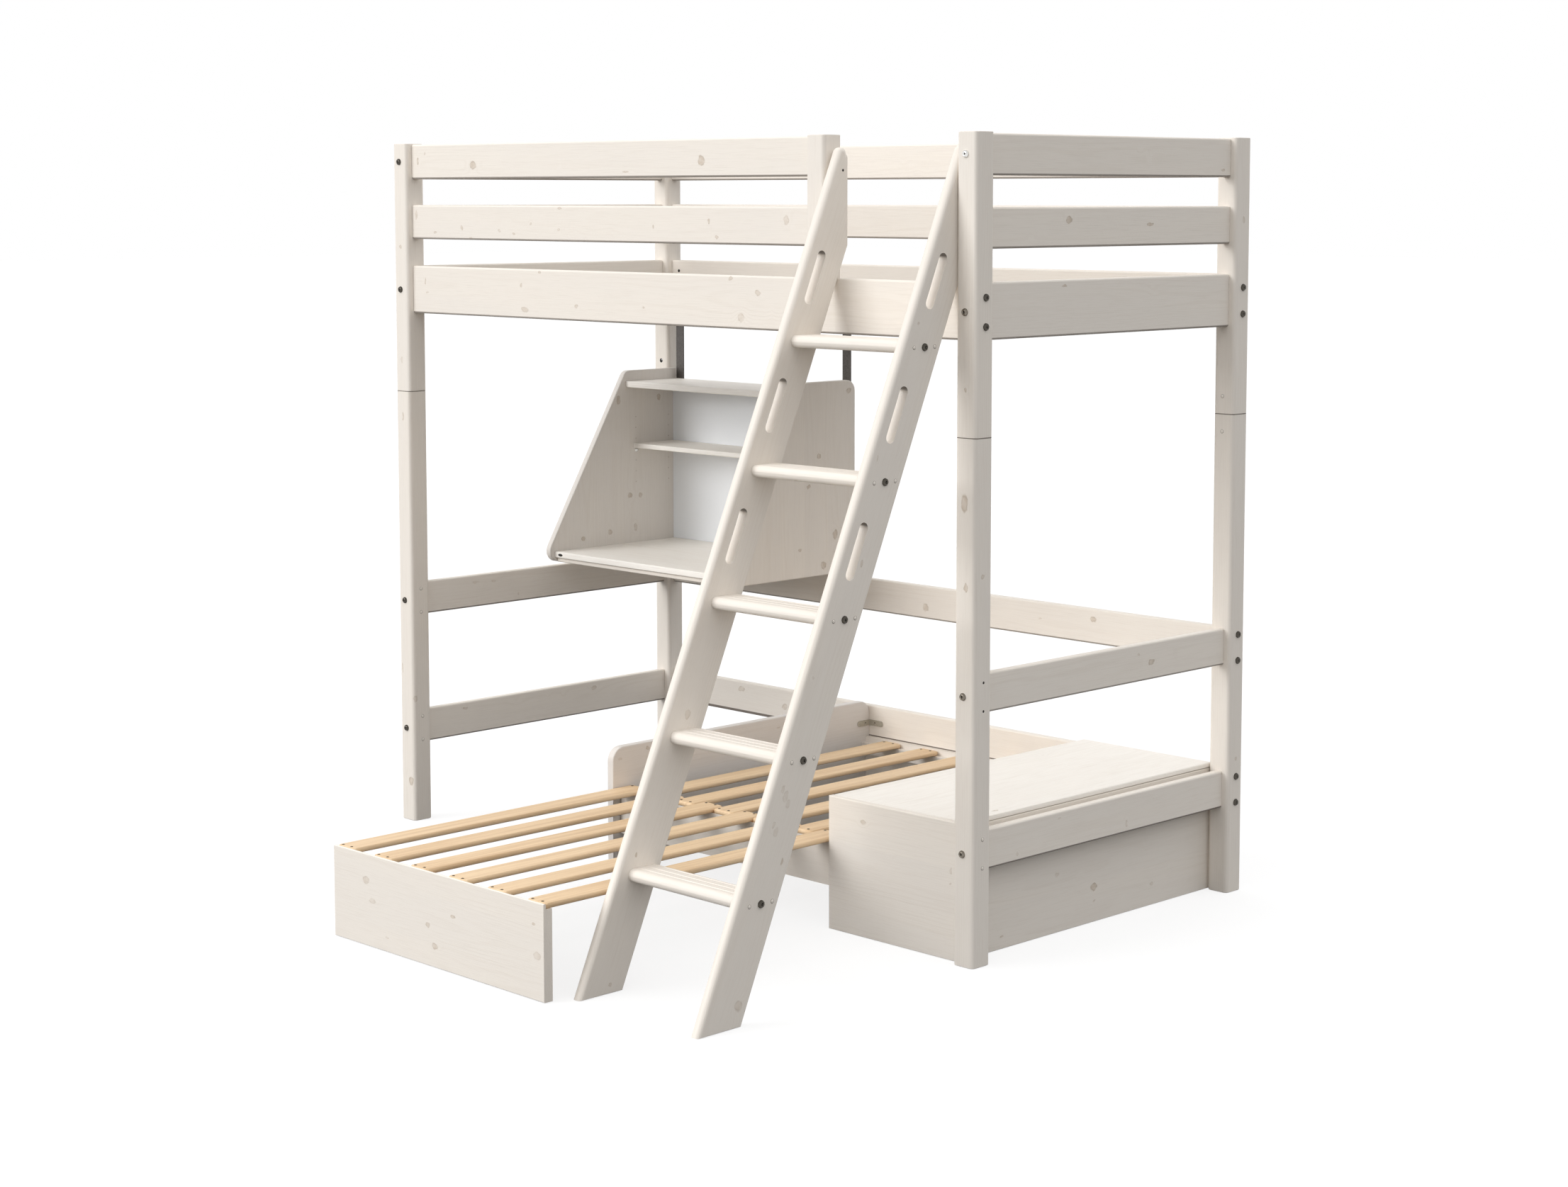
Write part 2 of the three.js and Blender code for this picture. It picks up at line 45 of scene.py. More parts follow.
def spot(x, y, z):
    # Millimetres from the foot corner, to metres in the model's frame
    return (np.array([x, y, z]) + footCorner) / 1000.0


def tint(red, green, blue):
    # A colour as seen on screen, 0 to 255, to the linear values that Blender keeps
    share = np.array([red, green, blue]) / 255.0
    linear = np.where(share <= 0.04045, share / 12.92, ((share + 0.055) / 1.055) ** 2.4)
    return (*linear.tolist(), 1.0)


# Short ways to put a node in a tree and wire it up

def addNode(tree, kind, sockets=None, **settings):
    node = tree.nodes.new("ShaderNode" + kind)
    for name, value in settings.items():
        setattr(node, name, value)
    for key, value in (sockets or {}).items():
        if isinstance(value, bpy.types.NodeSocket):
            tree.links.new(value, node.inputs[key])
        else:
            node.inputs[key].default_value = value
    return node


def calc(tree, operation, *values, clamp=False):
    return addNode(tree, "Math", dict(enumerate(values)), operation=operation, use_clamp=clamp).outputs[0]


def vectorCalc(tree, operation, *values, output="Vector"):
    return addNode(tree, "VectorMath", dict(enumerate(values)), operation=operation).outputs[output]


def blendColour(tree, share, under, over, blend="MIX"):
    return addNode(tree, "Mix", {0: share, 6: under, 7: over}, data_type="RGBA", blend_type=blend).outputs[2]


def remap(tree, value, fromLow, fromHigh, toLow=0.0, toHigh=1.0):
    sockets = {0: value, 1: fromLow, 2: fromHigh, 3: toLow, 4: toHigh}
    return addNode(tree, "MapRange", sockets, interpolation_type="SMOOTHSTEP").outputs[0]


def objectCoords(tree):
    return addNode(tree, "TexCoord").outputs["Object"]


def separate(tree, vector):
    return addNode(tree, "SeparateXYZ", {0: vector}).outputs


def clouds(tree, vector, scale, detail, roughness=0.5):
    # Noise at one scale, or at a scale of its own in each direction
    if isinstance(scale, tuple):
        vector, scale = vectorCalc(tree, "MULTIPLY", vector, scale), 1.0
    sockets = {"Vector": vector, "Scale": scale, "Detail": detail, "Roughness": roughness}
    return addNode(tree, "TexNoise", sockets).outputs[0]


def timesPlus(tree, value, factor, added, clamp=False):
    return calc(tree, "MULTIPLY_ADD", value, factor, added, clamp=clamp)


def relief(tree, height, strength, distance):
    return addNode(tree, "Bump", {"Height": height, "Strength": strength, "Distance": distance}).outputs[0]


def surface(tree, colour, rough, normal, **others):
    return addNode(tree, "BsdfPrincipled", {"Base Color": colour, "Roughness": rough, "Normal": normal, **others})


def newGroup(name, inputs, outputs):
    group = bpy.data.node_groups.new(name, "ShaderNodeTree")
    for direction, sockets in (("INPUT", inputs), ("OUTPUT", outputs)):
        for socketName, kind in sockets:
            group.interface.new_socket(socketName, in_out=direction, socket_type="NodeSocket" + kind)
    return group, group.nodes.new("NodeGroupInput"), group.nodes.new("NodeGroupOutput")


def newMaterial(name):
    material = bpy.data.materials.new(name)
    material.use_nodes = True
    material.node_tree.nodes.clear()
    return material, material.node_tree


def finishMaterial(tree, shader):
    output = tree.nodes.new("ShaderNodeOutputMaterial")
    tree.links.new(shader.outputs[0], output.inputs[0])


# Whitewashed pine. A scale of three numbers is per metre along the grain, across it and through the board
pine = {
    "base": tint(238, 231, 222),
    "warm": tint(243, 235, 224),
    "paintedLight": tint(255, 251, 244),
    "latewood": tint(222, 211, 198),
    "fibre": tint(228, 219, 209),
    "knot": tint(209, 195, 179),
    "knotRim": tint(183, 171, 157),
    "roughness": 0.46,
    "ior": 1.42,
    "relief": (0.35, 0.0004),
    # Staves: how far one is shifted across and along, how near its pith may lie, and how its shade varies
    "staveShift": 0.03,
    "staveJump": 7.0,
    "pithLeast": 0.6,
    "staveShade": (0.10, 0.05),
    # Growth rings
    "ringsPerMetre": 170.0,
    "ringShow": 0.17,
    "ringFrom": -0.1,
    "ringRelief": 0.35,
    "sway": 5.0,
    "swayScale": (1.6, 7.0, 7.0),
    "patchScale": (2.2, 22.0, 22.0),
    "patchRange": (0.32, 0.7),
    # Fibres and the slow change of tone
    "fibreScale": (14.0, 420.0, 420.0),
    "fibreRange": (0.46, 0.72),
    "fibreShow": 0.34,
    "fibreRelief": 0.5,
    "fibreGloss": 0.10,
    "toneScale": (1.1, 9.0, 9.0),
    "toneRange": (0.35, 0.7),
    "toneShow": 0.45,
    # Knots: lengths are shares of a knot's own half size
    "knotShow": 1.2,
    "knotEdge": (1.15, 0.75),
    "bend": 2.2,
    "bendFade": -0.35,
    "mottleScale": (70.0, 110.0, 110.0),
    "coreMottle": (0.3, 0.65, 0.6, 1.0),
    "rimMottle": (0.36, 0.6, 0.15, 0.6),
    "rimPlace": 0.84,
    "rimWidth": 0.26,
    "rimRelief": -0.4,
    "rippleScale": 75.0,
    "ripple": (0.012, 0.010, 0.0),
}


def makeKnotGroup():
    # Distance to an ellipsoid's centre as a share of its half sizes: keeps the least one, and the strongest shade
    inputs = [
        ("Vector", "Vector"), ("Centre", "Vector"), ("Size", "Vector"),
        ("Strength", "Float"), ("Nearest", "Float"), ("Shade", "Float"),
    ]
    group, given, result = newGroup("pineKnot", inputs, [("Nearest", "Float"), ("Shade", "Float")])
    vector, centre, size, strength, nearest, shade = (given.outputs[name] for name, _ in inputs)
    share = vectorCalc(group, "DIVIDE", vectorCalc(group, "SUBTRACT", vector, centre), size)
    length = vectorCalc(group, "LENGTH", share, output="Value")
    inside = calc(group, "MULTIPLY", remap(group, length, *pine["knotEdge"]), strength)
    group.links.new(calc(group, "MINIMUM", nearest, length), result.inputs[0])
    group.links.new(calc(group, "MAXIMUM", shade, inside), result.inputs[1])
    return group


def makePineGroup():
    # Growth rings round a pith along X beside each stave, faint fibres, and knots that the rings bend round
    inputs = [
        ("Vector", "Vector"), ("Knot", "Float"), ("Shade", "Float"), ("Stave", "Float"),
        ("Pith", "Float"), ("Seed", "Float"), ("PaintedLight", "Float"),
    ]
    outputs = [("Color", "Color"), ("Roughness", "Float"), ("Height", "Float")]
    group, given, result = newGroup("whitewashedPine", inputs, outputs)
    vector, knot, knotShade, stave, pith, seed, paintedLight = (given.outputs[name] for name, _ in inputs)

    # Each stave is cut from its own place in the wood
    parts = separate(group, vector)
    index = calc(group, "ROUND", calc(group, "DIVIDE", parts[1], stave))
    chance = addNode(group, "TexWhiteNoise", {"W": calc(group, "ADD", index, seed)}, noise_dimensions="1D").outputs[0]
    offCentre = calc(group, "SUBTRACT", chance, 0.5)
    across = calc(group, "SUBTRACT", parts[1], calc(group, "MULTIPLY", index, stave))
    across = timesPlus(group, offCentre, pine["staveShift"], across)
    deep = timesPlus(group, pith, calc(group, "ADD", chance, pine["pithLeast"]), parts[2])
    along = calc(group, "ADD", timesPlus(group, chance, pine["staveJump"], parts[0]), seed)
    own = addNode(group, "CombineXYZ", {0: along, 1: across, 2: deep}).outputs[0]
    fromPith = addNode(group, "CombineXYZ", {1: across, 2: deep}).outputs[0]
    radius = vectorCalc(group, "LENGTH", fromPith, output="Value")

    # Rings: a wave along the radius, swayed by slow noise and pushed aside near a knot
    bend = calc(group, "EXPONENT", calc(group, "MULTIPLY", calc(group, "MULTIPLY", knot, knot), pine["bendFade"]))
    sway = clouds(group, own, pine["swayScale"], 2.0)
    rings = calc(group, "MULTIPLY", radius, pine["ringsPerMetre"])
    rings = timesPlus(group, sway, pine["sway"], rings)
    rings = timesPlus(group, bend, pine["bend"], rings)
    wave = calc(group, "SINE", calc(group, "MULTIPLY", rings, 2 * math.pi))
    patch = remap(group, clouds(group, own, pine["patchScale"], 3.0), *pine["patchRange"])
    late = calc(group, "MULTIPLY", remap(group, wave, pine["ringFrom"], 1.0), patch)
    streak = remap(group, clouds(group, own, pine["fibreScale"], 3.0, 0.6), *pine["fibreRange"])
    tone = remap(group, clouds(group, own, pine["toneScale"], 2.0), *pine["toneRange"])
    mottle = clouds(group, own, pine["mottleScale"], 2.0)

    # Colours from the plain wood up to the knots' rims
    colour = blendColour(group, calc(group, "MULTIPLY", tone, pine["toneShow"]), pine["base"], pine["warm"])
    # Painted light: some boards are lightened all over towards a paler colour
    colour = blendColour(group, paintedLight, colour, pine["paintedLight"])
    shade = timesPlus(group, offCentre, *pine["staveShade"], clamp=True)
    colour = blendColour(group, shade, colour, pine["fibre"])
    colour = blendColour(group, calc(group, "MULTIPLY", late, pine["ringShow"]), colour, pine["latewood"])
    colour = blendColour(group, calc(group, "MULTIPLY", streak, pine["fibreShow"]), colour, pine["fibre"])
    core = calc(group, "MULTIPLY", knotShade, remap(group, mottle, *pine["coreMottle"]))
    colour = blendColour(group, core, colour, pine["knot"])
    rim = calc(group, "ABSOLUTE", calc(group, "SUBTRACT", knot, pine["rimPlace"]))
    rim = calc(group, "MULTIPLY", remap(group, rim, pine["rimWidth"], 0.0), knotShade)
    rim = calc(group, "MULTIPLY", rim, remap(group, mottle, *pine["rimMottle"]))
    colour = blendColour(group, rim, colour, pine["knotRim"])

    height = calc(group, "MULTIPLY", late, pine["ringRelief"])
    height = timesPlus(group, streak, pine["fibreRelief"], height)
    height = timesPlus(group, rim, pine["rimRelief"], height)
    rough = timesPlus(group, streak, pine["fibreGloss"], pine["roughness"])
    for place, value in enumerate((colour, rough, height)):
        group.links.new(value, result.inputs[place])
    return group


knotGroup = makeKnotGroup()
pineGroup = makePineGroup()

# The ladder: its lean, its stringers' outer faces, the first rung's middle, the rise to the next one, in mm
ladder = {
    "lean": math.radians(23.51), "leftFace": 1644.7, "rightFace": 2042.7,
    "firstY": -593.3, "firstZ": 248.8, "rise": 284.0, "rungs": 5, "plugsBeside": (32.5, -33.0),
}
directions = {
    "x": (1.0, 0.0, 0.0), "y": (0.0, 1.0, 0.0), "z": (0.0, 0.0, 1.0),
    "ladder": (0.0, math.sin(ladder["lean"]), math.cos(ladder["lean"])),
}
# Painted light: boards lightened all over towards a paler colour, as a share
paintedLightOn = {"chest_lid": 0.8, "desk_top_board": 1.0, "desk_middle_shelf": 1.0, "desk_top_shelf": 0.9}
# Boards that are greyer than the rest: painted shade on the desk's left panel and the seat's side panel, a grey stain
# on the loft's slats; the share of red, green and blue that is kept
stainAndShade = {
    "desk_left_panel": (0.88, 0.89, 0.91, 1.0),
    "seat_side_panel": (0.88, 0.89, 0.92, 1.0),
    "loft_slat_base": (0.47, 0.46, 0.455, 1.0),
}


def grainFrame(grain, face):
    # Rows: along the grain, across it, and through the board
    along, through = Vector(directions[grain]), Vector(directions[face])
    return Matrix((along, through.cross(along), through))


def nameSum(name):
    # A fixed number for each name, to start its own run of chance
    return sum(map(ord, name))


def pineShader(tree, name, grain, face, stave=1.0, pith=0.05, knots=()):
    # The pattern lies along the grain and is centred on the board
    turn = grainFrame(grain, face)
    low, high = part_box(name)
    seed = float(np.random.default_rng(nameSum(name)).uniform(0, 9))
    place = turn @ ((low + high) / 2)
    sockets = {"Vector": objectCoords(tree), "Rotation": turn.to_euler("XYZ"), "Location": -place}
    mapped = addNode(tree, "Mapping", sockets).outputs[0]
    ripple = addNode(tree, "TexNoise", {"Vector": mapped, "Scale": pine["rippleScale"], "Detail": 2.0})
    ripple = vectorCalc(tree, "SUBTRACT", ripple.outputs["Color"], (0.5, 0.5, 0.5))
    rippled = vectorCalc(tree, "ADD", mapped, vectorCalc(tree, "MULTIPLY", ripple, pine["ripple"]))
    nearest, shade = 9.0, 0.0
    for x, y, z, halfLength, halfWidth, depth, dark in knots:
        sockets = {
            "Vector": rippled,
            "Centre": turn @ Vector(spot(x, y, z)) - place,
            "Size": (halfLength / 1000, halfWidth / 1000, depth / 1000),
            "Strength": min(1.0, dark * pine["knotShow"]),
            "Nearest": nearest,
            "Shade": shade,
        }
        nearest, shade = addNode(tree, "Group", sockets, node_tree=knotGroup).outputs
    sockets = {
        "Vector": mapped, "Knot": nearest, "Shade": shade, "Stave": stave,
        "Pith": pith, "Seed": seed, "PaintedLight": paintedLightOn.get(name, 0.0),
    }
    colour, rough, height = addNode(tree, "Group", sockets, node_tree=pineGroup).outputs
    return surface(tree, colour, rough, relief(tree, height, *pine["relief"]), IOR=pine["ior"])


def layOver(tree, shader, share, colour, blend="MIX"):
    # Lays a colour over the shader's own one
    plain = shader.inputs["Base Color"].links[0].from_socket
    tree.links.new(blendColour(tree, share, plain, colour, blend), shader.inputs["Base Color"])


# Painted shade along the eased edge under a rail and round the lid's sides, and a painted shadow line under the back
# bottom rail: how high it reaches and how much it shows
paintedUnderShade = {
    "colour": tint(118, 108, 100),
    "fade": 0.0014,
    "reach": 0.0056,
    "reachOf": {"back_bottom_rail": 0.0095, "chest_lid": 0.0024},
    "show": 0.68,
    "showOf": {
        "back_bottom_rail": 1.0, "right_end_bottom_rail": 0.95,
        "left_end_lower_rail": 0.85, "left_end_bottom_rail": 0.85,
    },
    "lidSides": (0.95, 0.6),
}


def paintUnderEdgeShade(tree, shader, name):
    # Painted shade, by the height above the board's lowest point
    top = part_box(name)[0][2] + paintedUnderShade["reachOf"].get(name, paintedUnderShade["reach"])
    show = paintedUnderShade["showOf"].get(name, paintedUnderShade["show"])
    share = remap(tree, separate(tree, objectCoords(tree))[2], top, top - paintedUnderShade["fade"], 0.0, show)
    if name == "chest_lid":
        # The painted shade goes only round the lid's sides: its underside keeps the wood's colour
        facing = separate(tree, addNode(tree, "TexCoord").outputs["Normal"])[2]
        onSide = remap(tree, calc(tree, "ABSOLUTE", facing), *paintedUnderShade["lidSides"])
        share = calc(tree, "MULTIPLY", share, onSide)
    layOver(tree, shader, share, paintedUnderShade["colour"])


slotEndShade = {"colour": tint(84, 75, 67), "facing": (-0.45, -0.85), "show": 0.85}


def paintSlotEndShade(tree, shader):
    # Painted shade in the upper ends of a stringer's slots: by how far a face looks down along the ladder
    normal = addNode(tree, "NewGeometry").outputs["Normal"]
    facing = vectorCalc(tree, "DOT_PRODUCT", normal, directions["ladder"], output="Value")
    layOver(tree, shader, remap(tree, facing, *slotEndShade["facing"], 0.0, slotEndShade["show"]), slotEndShade["colour"])


# Clear beech slats. Scales are per metre along X, Y and Z; the slats' grain runs along Y
beech = {
    "base": tint(235, 206, 168),
    "dark": tint(214, 180, 139),
    "fleck": tint(182, 145, 106),
    "pale": tint(243, 218, 183),
    "roughness": 0.44,
    "glossSpread": 0.12,
    "ior": 1.42,
    "relief": (0.3, 0.0004),
    "slatPitch": 0.069,
    "slatsFrom": -1.8373,
    "barTop": 0.2026,
    "jump": 5.0,
    "paleShow": 0.45,
    "bandScale": (75.0, 2.4, 75.0),
    "bandRange": (0.3, 0.72),
    "fineScale": (650.0, 22.0, 650.0),
    "fineRange": (0.45, 0.75, 0.0, 0.35),
    "fleckScale": (900.0, 190.0, 900.0),
    "fleckRange": (0.22, 0.08, 0.0, 0.45),
}


def beechShader(tree):
    # Each slat has its own place along the pattern, and its own share of the paler colour
    x, y, z = separate(tree, objectCoords(tree))
    slat = calc(tree, "DIVIDE", calc(tree, "ADD", x, -beech["slatsFrom"]), beech["slatPitch"])
    chance = addNode(tree, "TexWhiteNoise", {"W": calc(tree, "FLOOR", slat)}, noise_dimensions="1D").outputs[0]
    along = timesPlus(tree, chance, beech["jump"], y)
    shifted = addNode(tree, "CombineXYZ", {0: x, 1: along, 2: z}).outputs[0]
    band = clouds(tree, shifted, beech["bandScale"], 3.0)
    fine = clouds(tree, shifted, beech["fineScale"], 2.0)
    flecked = vectorCalc(tree, "MULTIPLY", shifted, beech["fleckScale"])
    fleck = addNode(tree, "TexVoronoi", {"Vector": flecked, "Scale": 1.0}).outputs["Distance"]
    colour = blendColour(tree, remap(tree, band, *beech["bandRange"]), beech["base"], beech["dark"])
    colour = blendColour(tree, calc(tree, "MULTIPLY", chance, beech["paleShow"]), colour, beech["pale"])
    colour = blendColour(tree, remap(tree, fine, *beech["fineRange"]), colour, beech["dark"])
    colour = blendColour(tree, remap(tree, fleck, *beech["fleckRange"]), colour, beech["fleck"])
    rough = timesPlus(tree, fine, beech["glossSpread"], beech["roughness"])
    return surface(tree, colour, rough, relief(tree, fine, *beech["relief"]), IOR=beech["ior"])


# Each kind of board: along which axis its grain runs, which way it faces, its staves' width, and the pith's distance
boards = {
    "post": ("z", "y", 1.0, 0.035),
    "front_rail": ("x", "y", 1.0, 0.055),
    "end_rail": ("y", "x", 1.0, 0.055),
    "ledge": ("x", "y", 1.0, 0.04),
    "stringer": ("ladder", "x", 1.0, 0.05),
    "rung": ("x", "z", 1.0, 0.05),
    "desk_panel": ("z", "x", 0.092, 0.06),
    "desk_board": ("x", "z", 0.117, 0.06),
    "desk_apron": ("x", "y", 1.0, 0.05),
    "seat_side": ("y", "x", 0.106, 0.06),
    "seat_back": ("x", "y", 1.0, 0.06),
    "board_front": ("x", "y", 0.107, 0.06),
    "chest_side": ("y", "x", 0.106, 0.06),
    "chest_flat": ("y", "z", 0.101, 0.06),
    "slat_bar": ("x", "y", 1.0, 0.05),
    "loft_slats": ("y", "z", 0.13636, 0.05),
    "plug": ("y", "x", 1.0, 0.02),
}
boardOf = {
    "desk_left_panel": "desk_panel", "desk_right_panel": "desk_panel", "desk_top_board": "desk_board",
    "desk_top_shelf": "desk_board", "desk_middle_shelf": "desk_board", "desk_apron": "desk_apron",
    "seat_side_panel": "seat_side", "seat_back_board": "seat_back", "pullout_front_board": "board_front",
    "chest_front": "board_front", "chest_back": "board_front", "chest_left_side": "chest_side",
    "chest_right_side": "chest_side", "chest_floor": "chest_flat", "chest_lid": "chest_flat",
}
knotsOf = {
    # The middle's x, y and z, then half length, half width and depth, all in mm, then how dark the knot is
    "chest_lid": [(2014, 176, 317, 12, 4, 40, 0.5)],
    "chest_right_side": [
        (2039, 368, 139, 7, 5, 40, 0.4), (2039, 724, 53, 6, 4, 40, 0.4), (2039, 502, 85, 13, 10, 40, 0.9),
        (2039, 504, 52, 5, 3, 40, 0.5), (2039, 173, 30, 6, 3, 40, 0.8),
    ],
    "chest_front": [(1746, 20, 271, 8, 5, 40, 0.7), (2019, 20, 206, 4, 7, 40, 0.4), (2018, 20, 177, 3, 3, 40, 0.4)],
    "pullout_front_board": [
        (993, -834, 154, 13, 9, 40, 0.5), (1017, -834, 109, 12, 7, 40, 0.4), (1315, -834, 129, 7, 4, 40, 0.8),
        (1224, -834, 93, 7, 6, 40, 0.6), (1596, -834, 167, 5, 3, 40, 0.7), (1070, -834, 33, 7, 2, 40, 0.4),
        (1248, -834, 50, 11, 8, 40, 0.7), (1606, -834, 99, 14, 9, 40, 0.4),
    ],
    "seat_side_panel": [
        (868, 605, 289, 6, 3, 40, 0.4), (868, 137, 302, 6, 5, 40, 0.7), (868, 43, 287, 8, 4, 40, 0.4),
    ],
    "desk_right_panel": [
        (815, 929, 1177, 9, 9, 40, 0.9), (815, 814, 1003, 7, 8, 40, 1.0), (815, 774, 922, 6, 9, 40, 1.0),
        (815, 877, 783, 14, 10, 40, 1.0), (815, 740, 751, 6, 6, 40, 1.0), (815, 831, 702, 11, 11, 40, 1.0),
    ],
    "desk_left_panel": [
        (82, 729, 1123, 13, 7, 40, 0.9), (82, 885, 1123, 11, 7, 40, 0.9), (82, 771, 842, 8, 9, 40, 0.8),
        (82, 811, 841, 7, 7, 40, 0.7), (82, 793, 747, 13, 7, 40, 0.6), (82, 694, 742, 8, 8, 40, 1.0),
        (82, 592, 730, 7, 7, 40, 0.9),
    ],
    "ladder_right_stringer": [
        (2043, -119, 1436, 4, 3, 30, 0.5), (2043, -246, 1153, 6, 2, 30, 0.5), (2043, -293, 932, 9, 4, 30, 0.5),
        (2043, -440, 704, 3, 3, 30, 0.4), (2043, -528, 480, 9, 5, 30, 0.34), (2043, -521, 464, 13, 8, 30, 0.3),
        (2043, -514, 447, 10, 6, 30, 0.34), (2043, -556, 409, 9, 4, 30, 0.36), (2043, -549, 393, 12, 6, 30, 0.32),
        (2043, -532, 327, 8, 4, 30, 1.0), (2043, -659, 46, 12, 11, 30, 0.5),
    ],
    "ladder_left_stringer": [
        (1672, -458, 578, 12, 8, 30, 0.5), (1672, -610, 292, 5, 4, 30, 0.8), (1672, -686, 19, 5, 5, 30, 0.7),
    ],
    "right_end_bottom_rail": [
        (2084, 320, 288, 5, 2, 40, 0.4), (2084, 567, 234, 4, 8, 40, 0.4), (2084, 172, 229, 4, 5, 40, 0.3),
    ],
    "right_end_lower_rail": [(2084, 607, 633, 5, 3, 40, 0.5), (2084, 654, 610, 12, 7, 40, 0.8)],
    "right_end_bed_rail": [(2084, 321, 1508, 9, 3, 40, 1.0)],
    "right_end_guard_rail": [(2084, 334, 1657, 11, 8, 40, 1.0), (2084, 631, 1645, 12, 4, 40, 1.0)],
    "right_end_top_rail": [(2084, 911, 1771, 9, 3, 40, 0.9)],
    "left_end_bottom_rail": [(40, 664, 283, 10, 6, 40, 0.5), (40, 193, 286, 10, 4, 40, 0.7)],
    "left_end_lower_rail": [
        (40, 298, 634, 9, 3, 40, 0.4), (40, 236, 637, 13, 3, 40, 0.3), (40, 388, 589, 3, 4, 40, 0.4),
    ],
    "back_bottom_rail": [(352, 960, 282, 15, 8, 40, 0.5), (533, 960, 253, 11, 10, 40, 0.6)],
    "back_lower_rail": [
        (1078, 960, 599, 11, 11, 40, 0.7), (1660, 960, 631, 10, 8, 40, 0.8), (1484, 960, 615, 6, 2, 40, 0.4),
    ],
    "front_bed_rail": [
        (113, 18, 1482, 4, 9, 40, 0.7), (123, 18, 1453, 4, 3, 40, 0.5), (521, 18, 1480, 4, 6, 40, 0.6),
        (595, 18, 1515, 6, 4, 40, 0.8), (1401, 18, 1482, 10, 7, 40, 0.7), (1309, 18, 1515, 8, 5, 40, 0.8),
        (995, 18, 1437, 3, 3, 40, 0.6), (739, 18, 1433, 7, 4, 40, 0.7), (535, 18, 1418, 15, 8, 40, 0.5),
        (1344, 18, 1423, 12, 11, 40, 0.4),
    ],
    "front_guard_rail": [
        (77, 18, 1659, 5, 13, 40, 0.6), (1497, 18, 1655, 10, 11, 40, 0.5), (1232, 18, 1650, 4, 8, 40, 0.9),
        (276, 18, 1628, 5, 9, 40, 0.6), (1034, 18, 1635, 4, 5, 40, 0.7), (673, 18, 1625, 6, 5, 40, 0.5),
        (160, 18, 1614, 7, 4, 40, 0.5), (492, 18, 1614, 6, 3, 40, 0.6), (434, 18, 1620, 5, 4, 40, 0.5),
        (562, 18, 1639, 5, 4, 40, 0.5), (678, 18, 1679, 9, 4, 40, 0.5), (314, 18, 1600, 7, 3, 40, 0.6),
        (1260, 18, 1613, 7, 4, 40, 0.9),
    ],
    "front_top_rail": [
        (1207, 18, 1795, 11, 14, 40, 0.8), (88, 18, 1803, 4, 10, 40, 0.8), (118, 18, 1822, 3, 4, 40, 0.5),
        (326, 18, 1790, 14, 11, 40, 0.8), (934, 18, 1770, 12, 2, 40, 0.7),
    ],
    "back_right_upper_post": [(2103, 971, 1652, 8, 14, 5, 0.5)],
    "back_right_lower_post": [(2103, 971, 332, 6, 14, 5, 0.6)],
    "front_right_upper_post": [(2073, 0, 1288, 6, 5, 14, 0.8)],
    "front_right_lower_post": [
        (2072, 0, 1039, 21, 10, 14, 0.8), (2077, 0, 854, 10, 5, 14, 0.8), (2103, 27, 878, 5, 14, 6, 0.6),
    ],
    "front_left_upper_post": [(29, 0, 1573, 5, 5, 14, 0.7), (29, 0, 1268, 9, 5, 14, 0.4)],
    "front_left_lower_post": [
        (31, 0, 1115, 11, 4, 14, 0.7), (45, 2, 110, 12, 10, 12, 0.8), (13, 0, 422, 14, 3, 10, 0.5),
        (58, 8, 340, 10, 5, 6, 0.5),
    ],
}
# Knots on the sides that face the wall or the desk's end: one for so many mm, and the ranges of their half sizes
hiddenKnot = {
    "every": 420, "within": (0.15, 0.85), "length": (4, 14), "width": (4, 10), "depth": 12.0, "dark": (0.4, 1.0),
    "postLength": (4, 12), "postWidth": 14.0, "postDepth": (4, 9), "ladderAcross": (-35, 35),
}


def hiddenKnots(name, grain, face):
    # A few more knots where the wood faces away, shallow enough to stay on that side
    low, high = (np.array(corner) * 1000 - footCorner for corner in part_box(name))
    chance = np.random.default_rng(nameSum(name) + 7)
    length = {"x": 0, "y": 1, "z": 2, "ladder": 2}[grain]
    side = {"x": 0, "y": 1, "z": 2}[face]
    knots = []
    for _ in range(int((high - low)[length] // hiddenKnot["every"]) + 1):
        place = low + (high - low) * chance.uniform(*hiddenKnot["within"], 3)
        if name.endswith("_post") and chance.random() < 0.5:
            place[0] = low[0]
            halfLength, halfWidth = chance.uniform(*hiddenKnot["postLength"]), hiddenKnot["postWidth"]
            depth = chance.uniform(*hiddenKnot["postDepth"])
        else:
            place[side] = high[side] if face == "y" else low[side]
            halfLength, halfWidth = chance.uniform(*hiddenKnot["length"]), chance.uniform(*hiddenKnot["width"])
            depth = hiddenKnot["depth"]
        if grain == "ladder":
            middle = ladder["firstY"] + math.tan(ladder["lean"]) * (place[2] - ladder["firstZ"])
            place[1] = middle + chance.uniform(*hiddenKnot["ladderAcross"])
        knots.append((*place.tolist(), halfLength, halfWidth, depth, chance.uniform(*hiddenKnot["dark"])))
    return knots


def boardKind(name):
    if name in boardOf:
        return boardOf[name]
    for ending in ("post", "ledge", "stringer"):
        if name.endswith("_" + ending):
            return ending
    if name.startswith("ladder_rung"):
        return "rung"
    return "end_rail" if "_end_" in name else "front_rail"


def pineMaterial(name):
    grain, face, stave, pith = boards[boardKind(name)]
    material, tree = newMaterial("pine_" + name)
    knots = knotsOf.get(name, []) + hiddenKnots(name, grain, face)
    shader = pineShader(tree, name, grain, face, stave, pith, knots)
    if name in stainAndShade:
        layOver(tree, shader, 1.0, stainAndShade[name], "MULTIPLY")
    # Rails and the lid get painted shade along their lower edges
    if name.endswith("_rail") or name == "chest_lid":
        paintUnderEdgeShade(tree, shader, name)
    # Stringers get painted shade in the upper ends of their slots
    if name.endswith("_stringer"):
        paintSlotEndShade(tree, shader)
    finishMaterial(tree, shader)
    return material


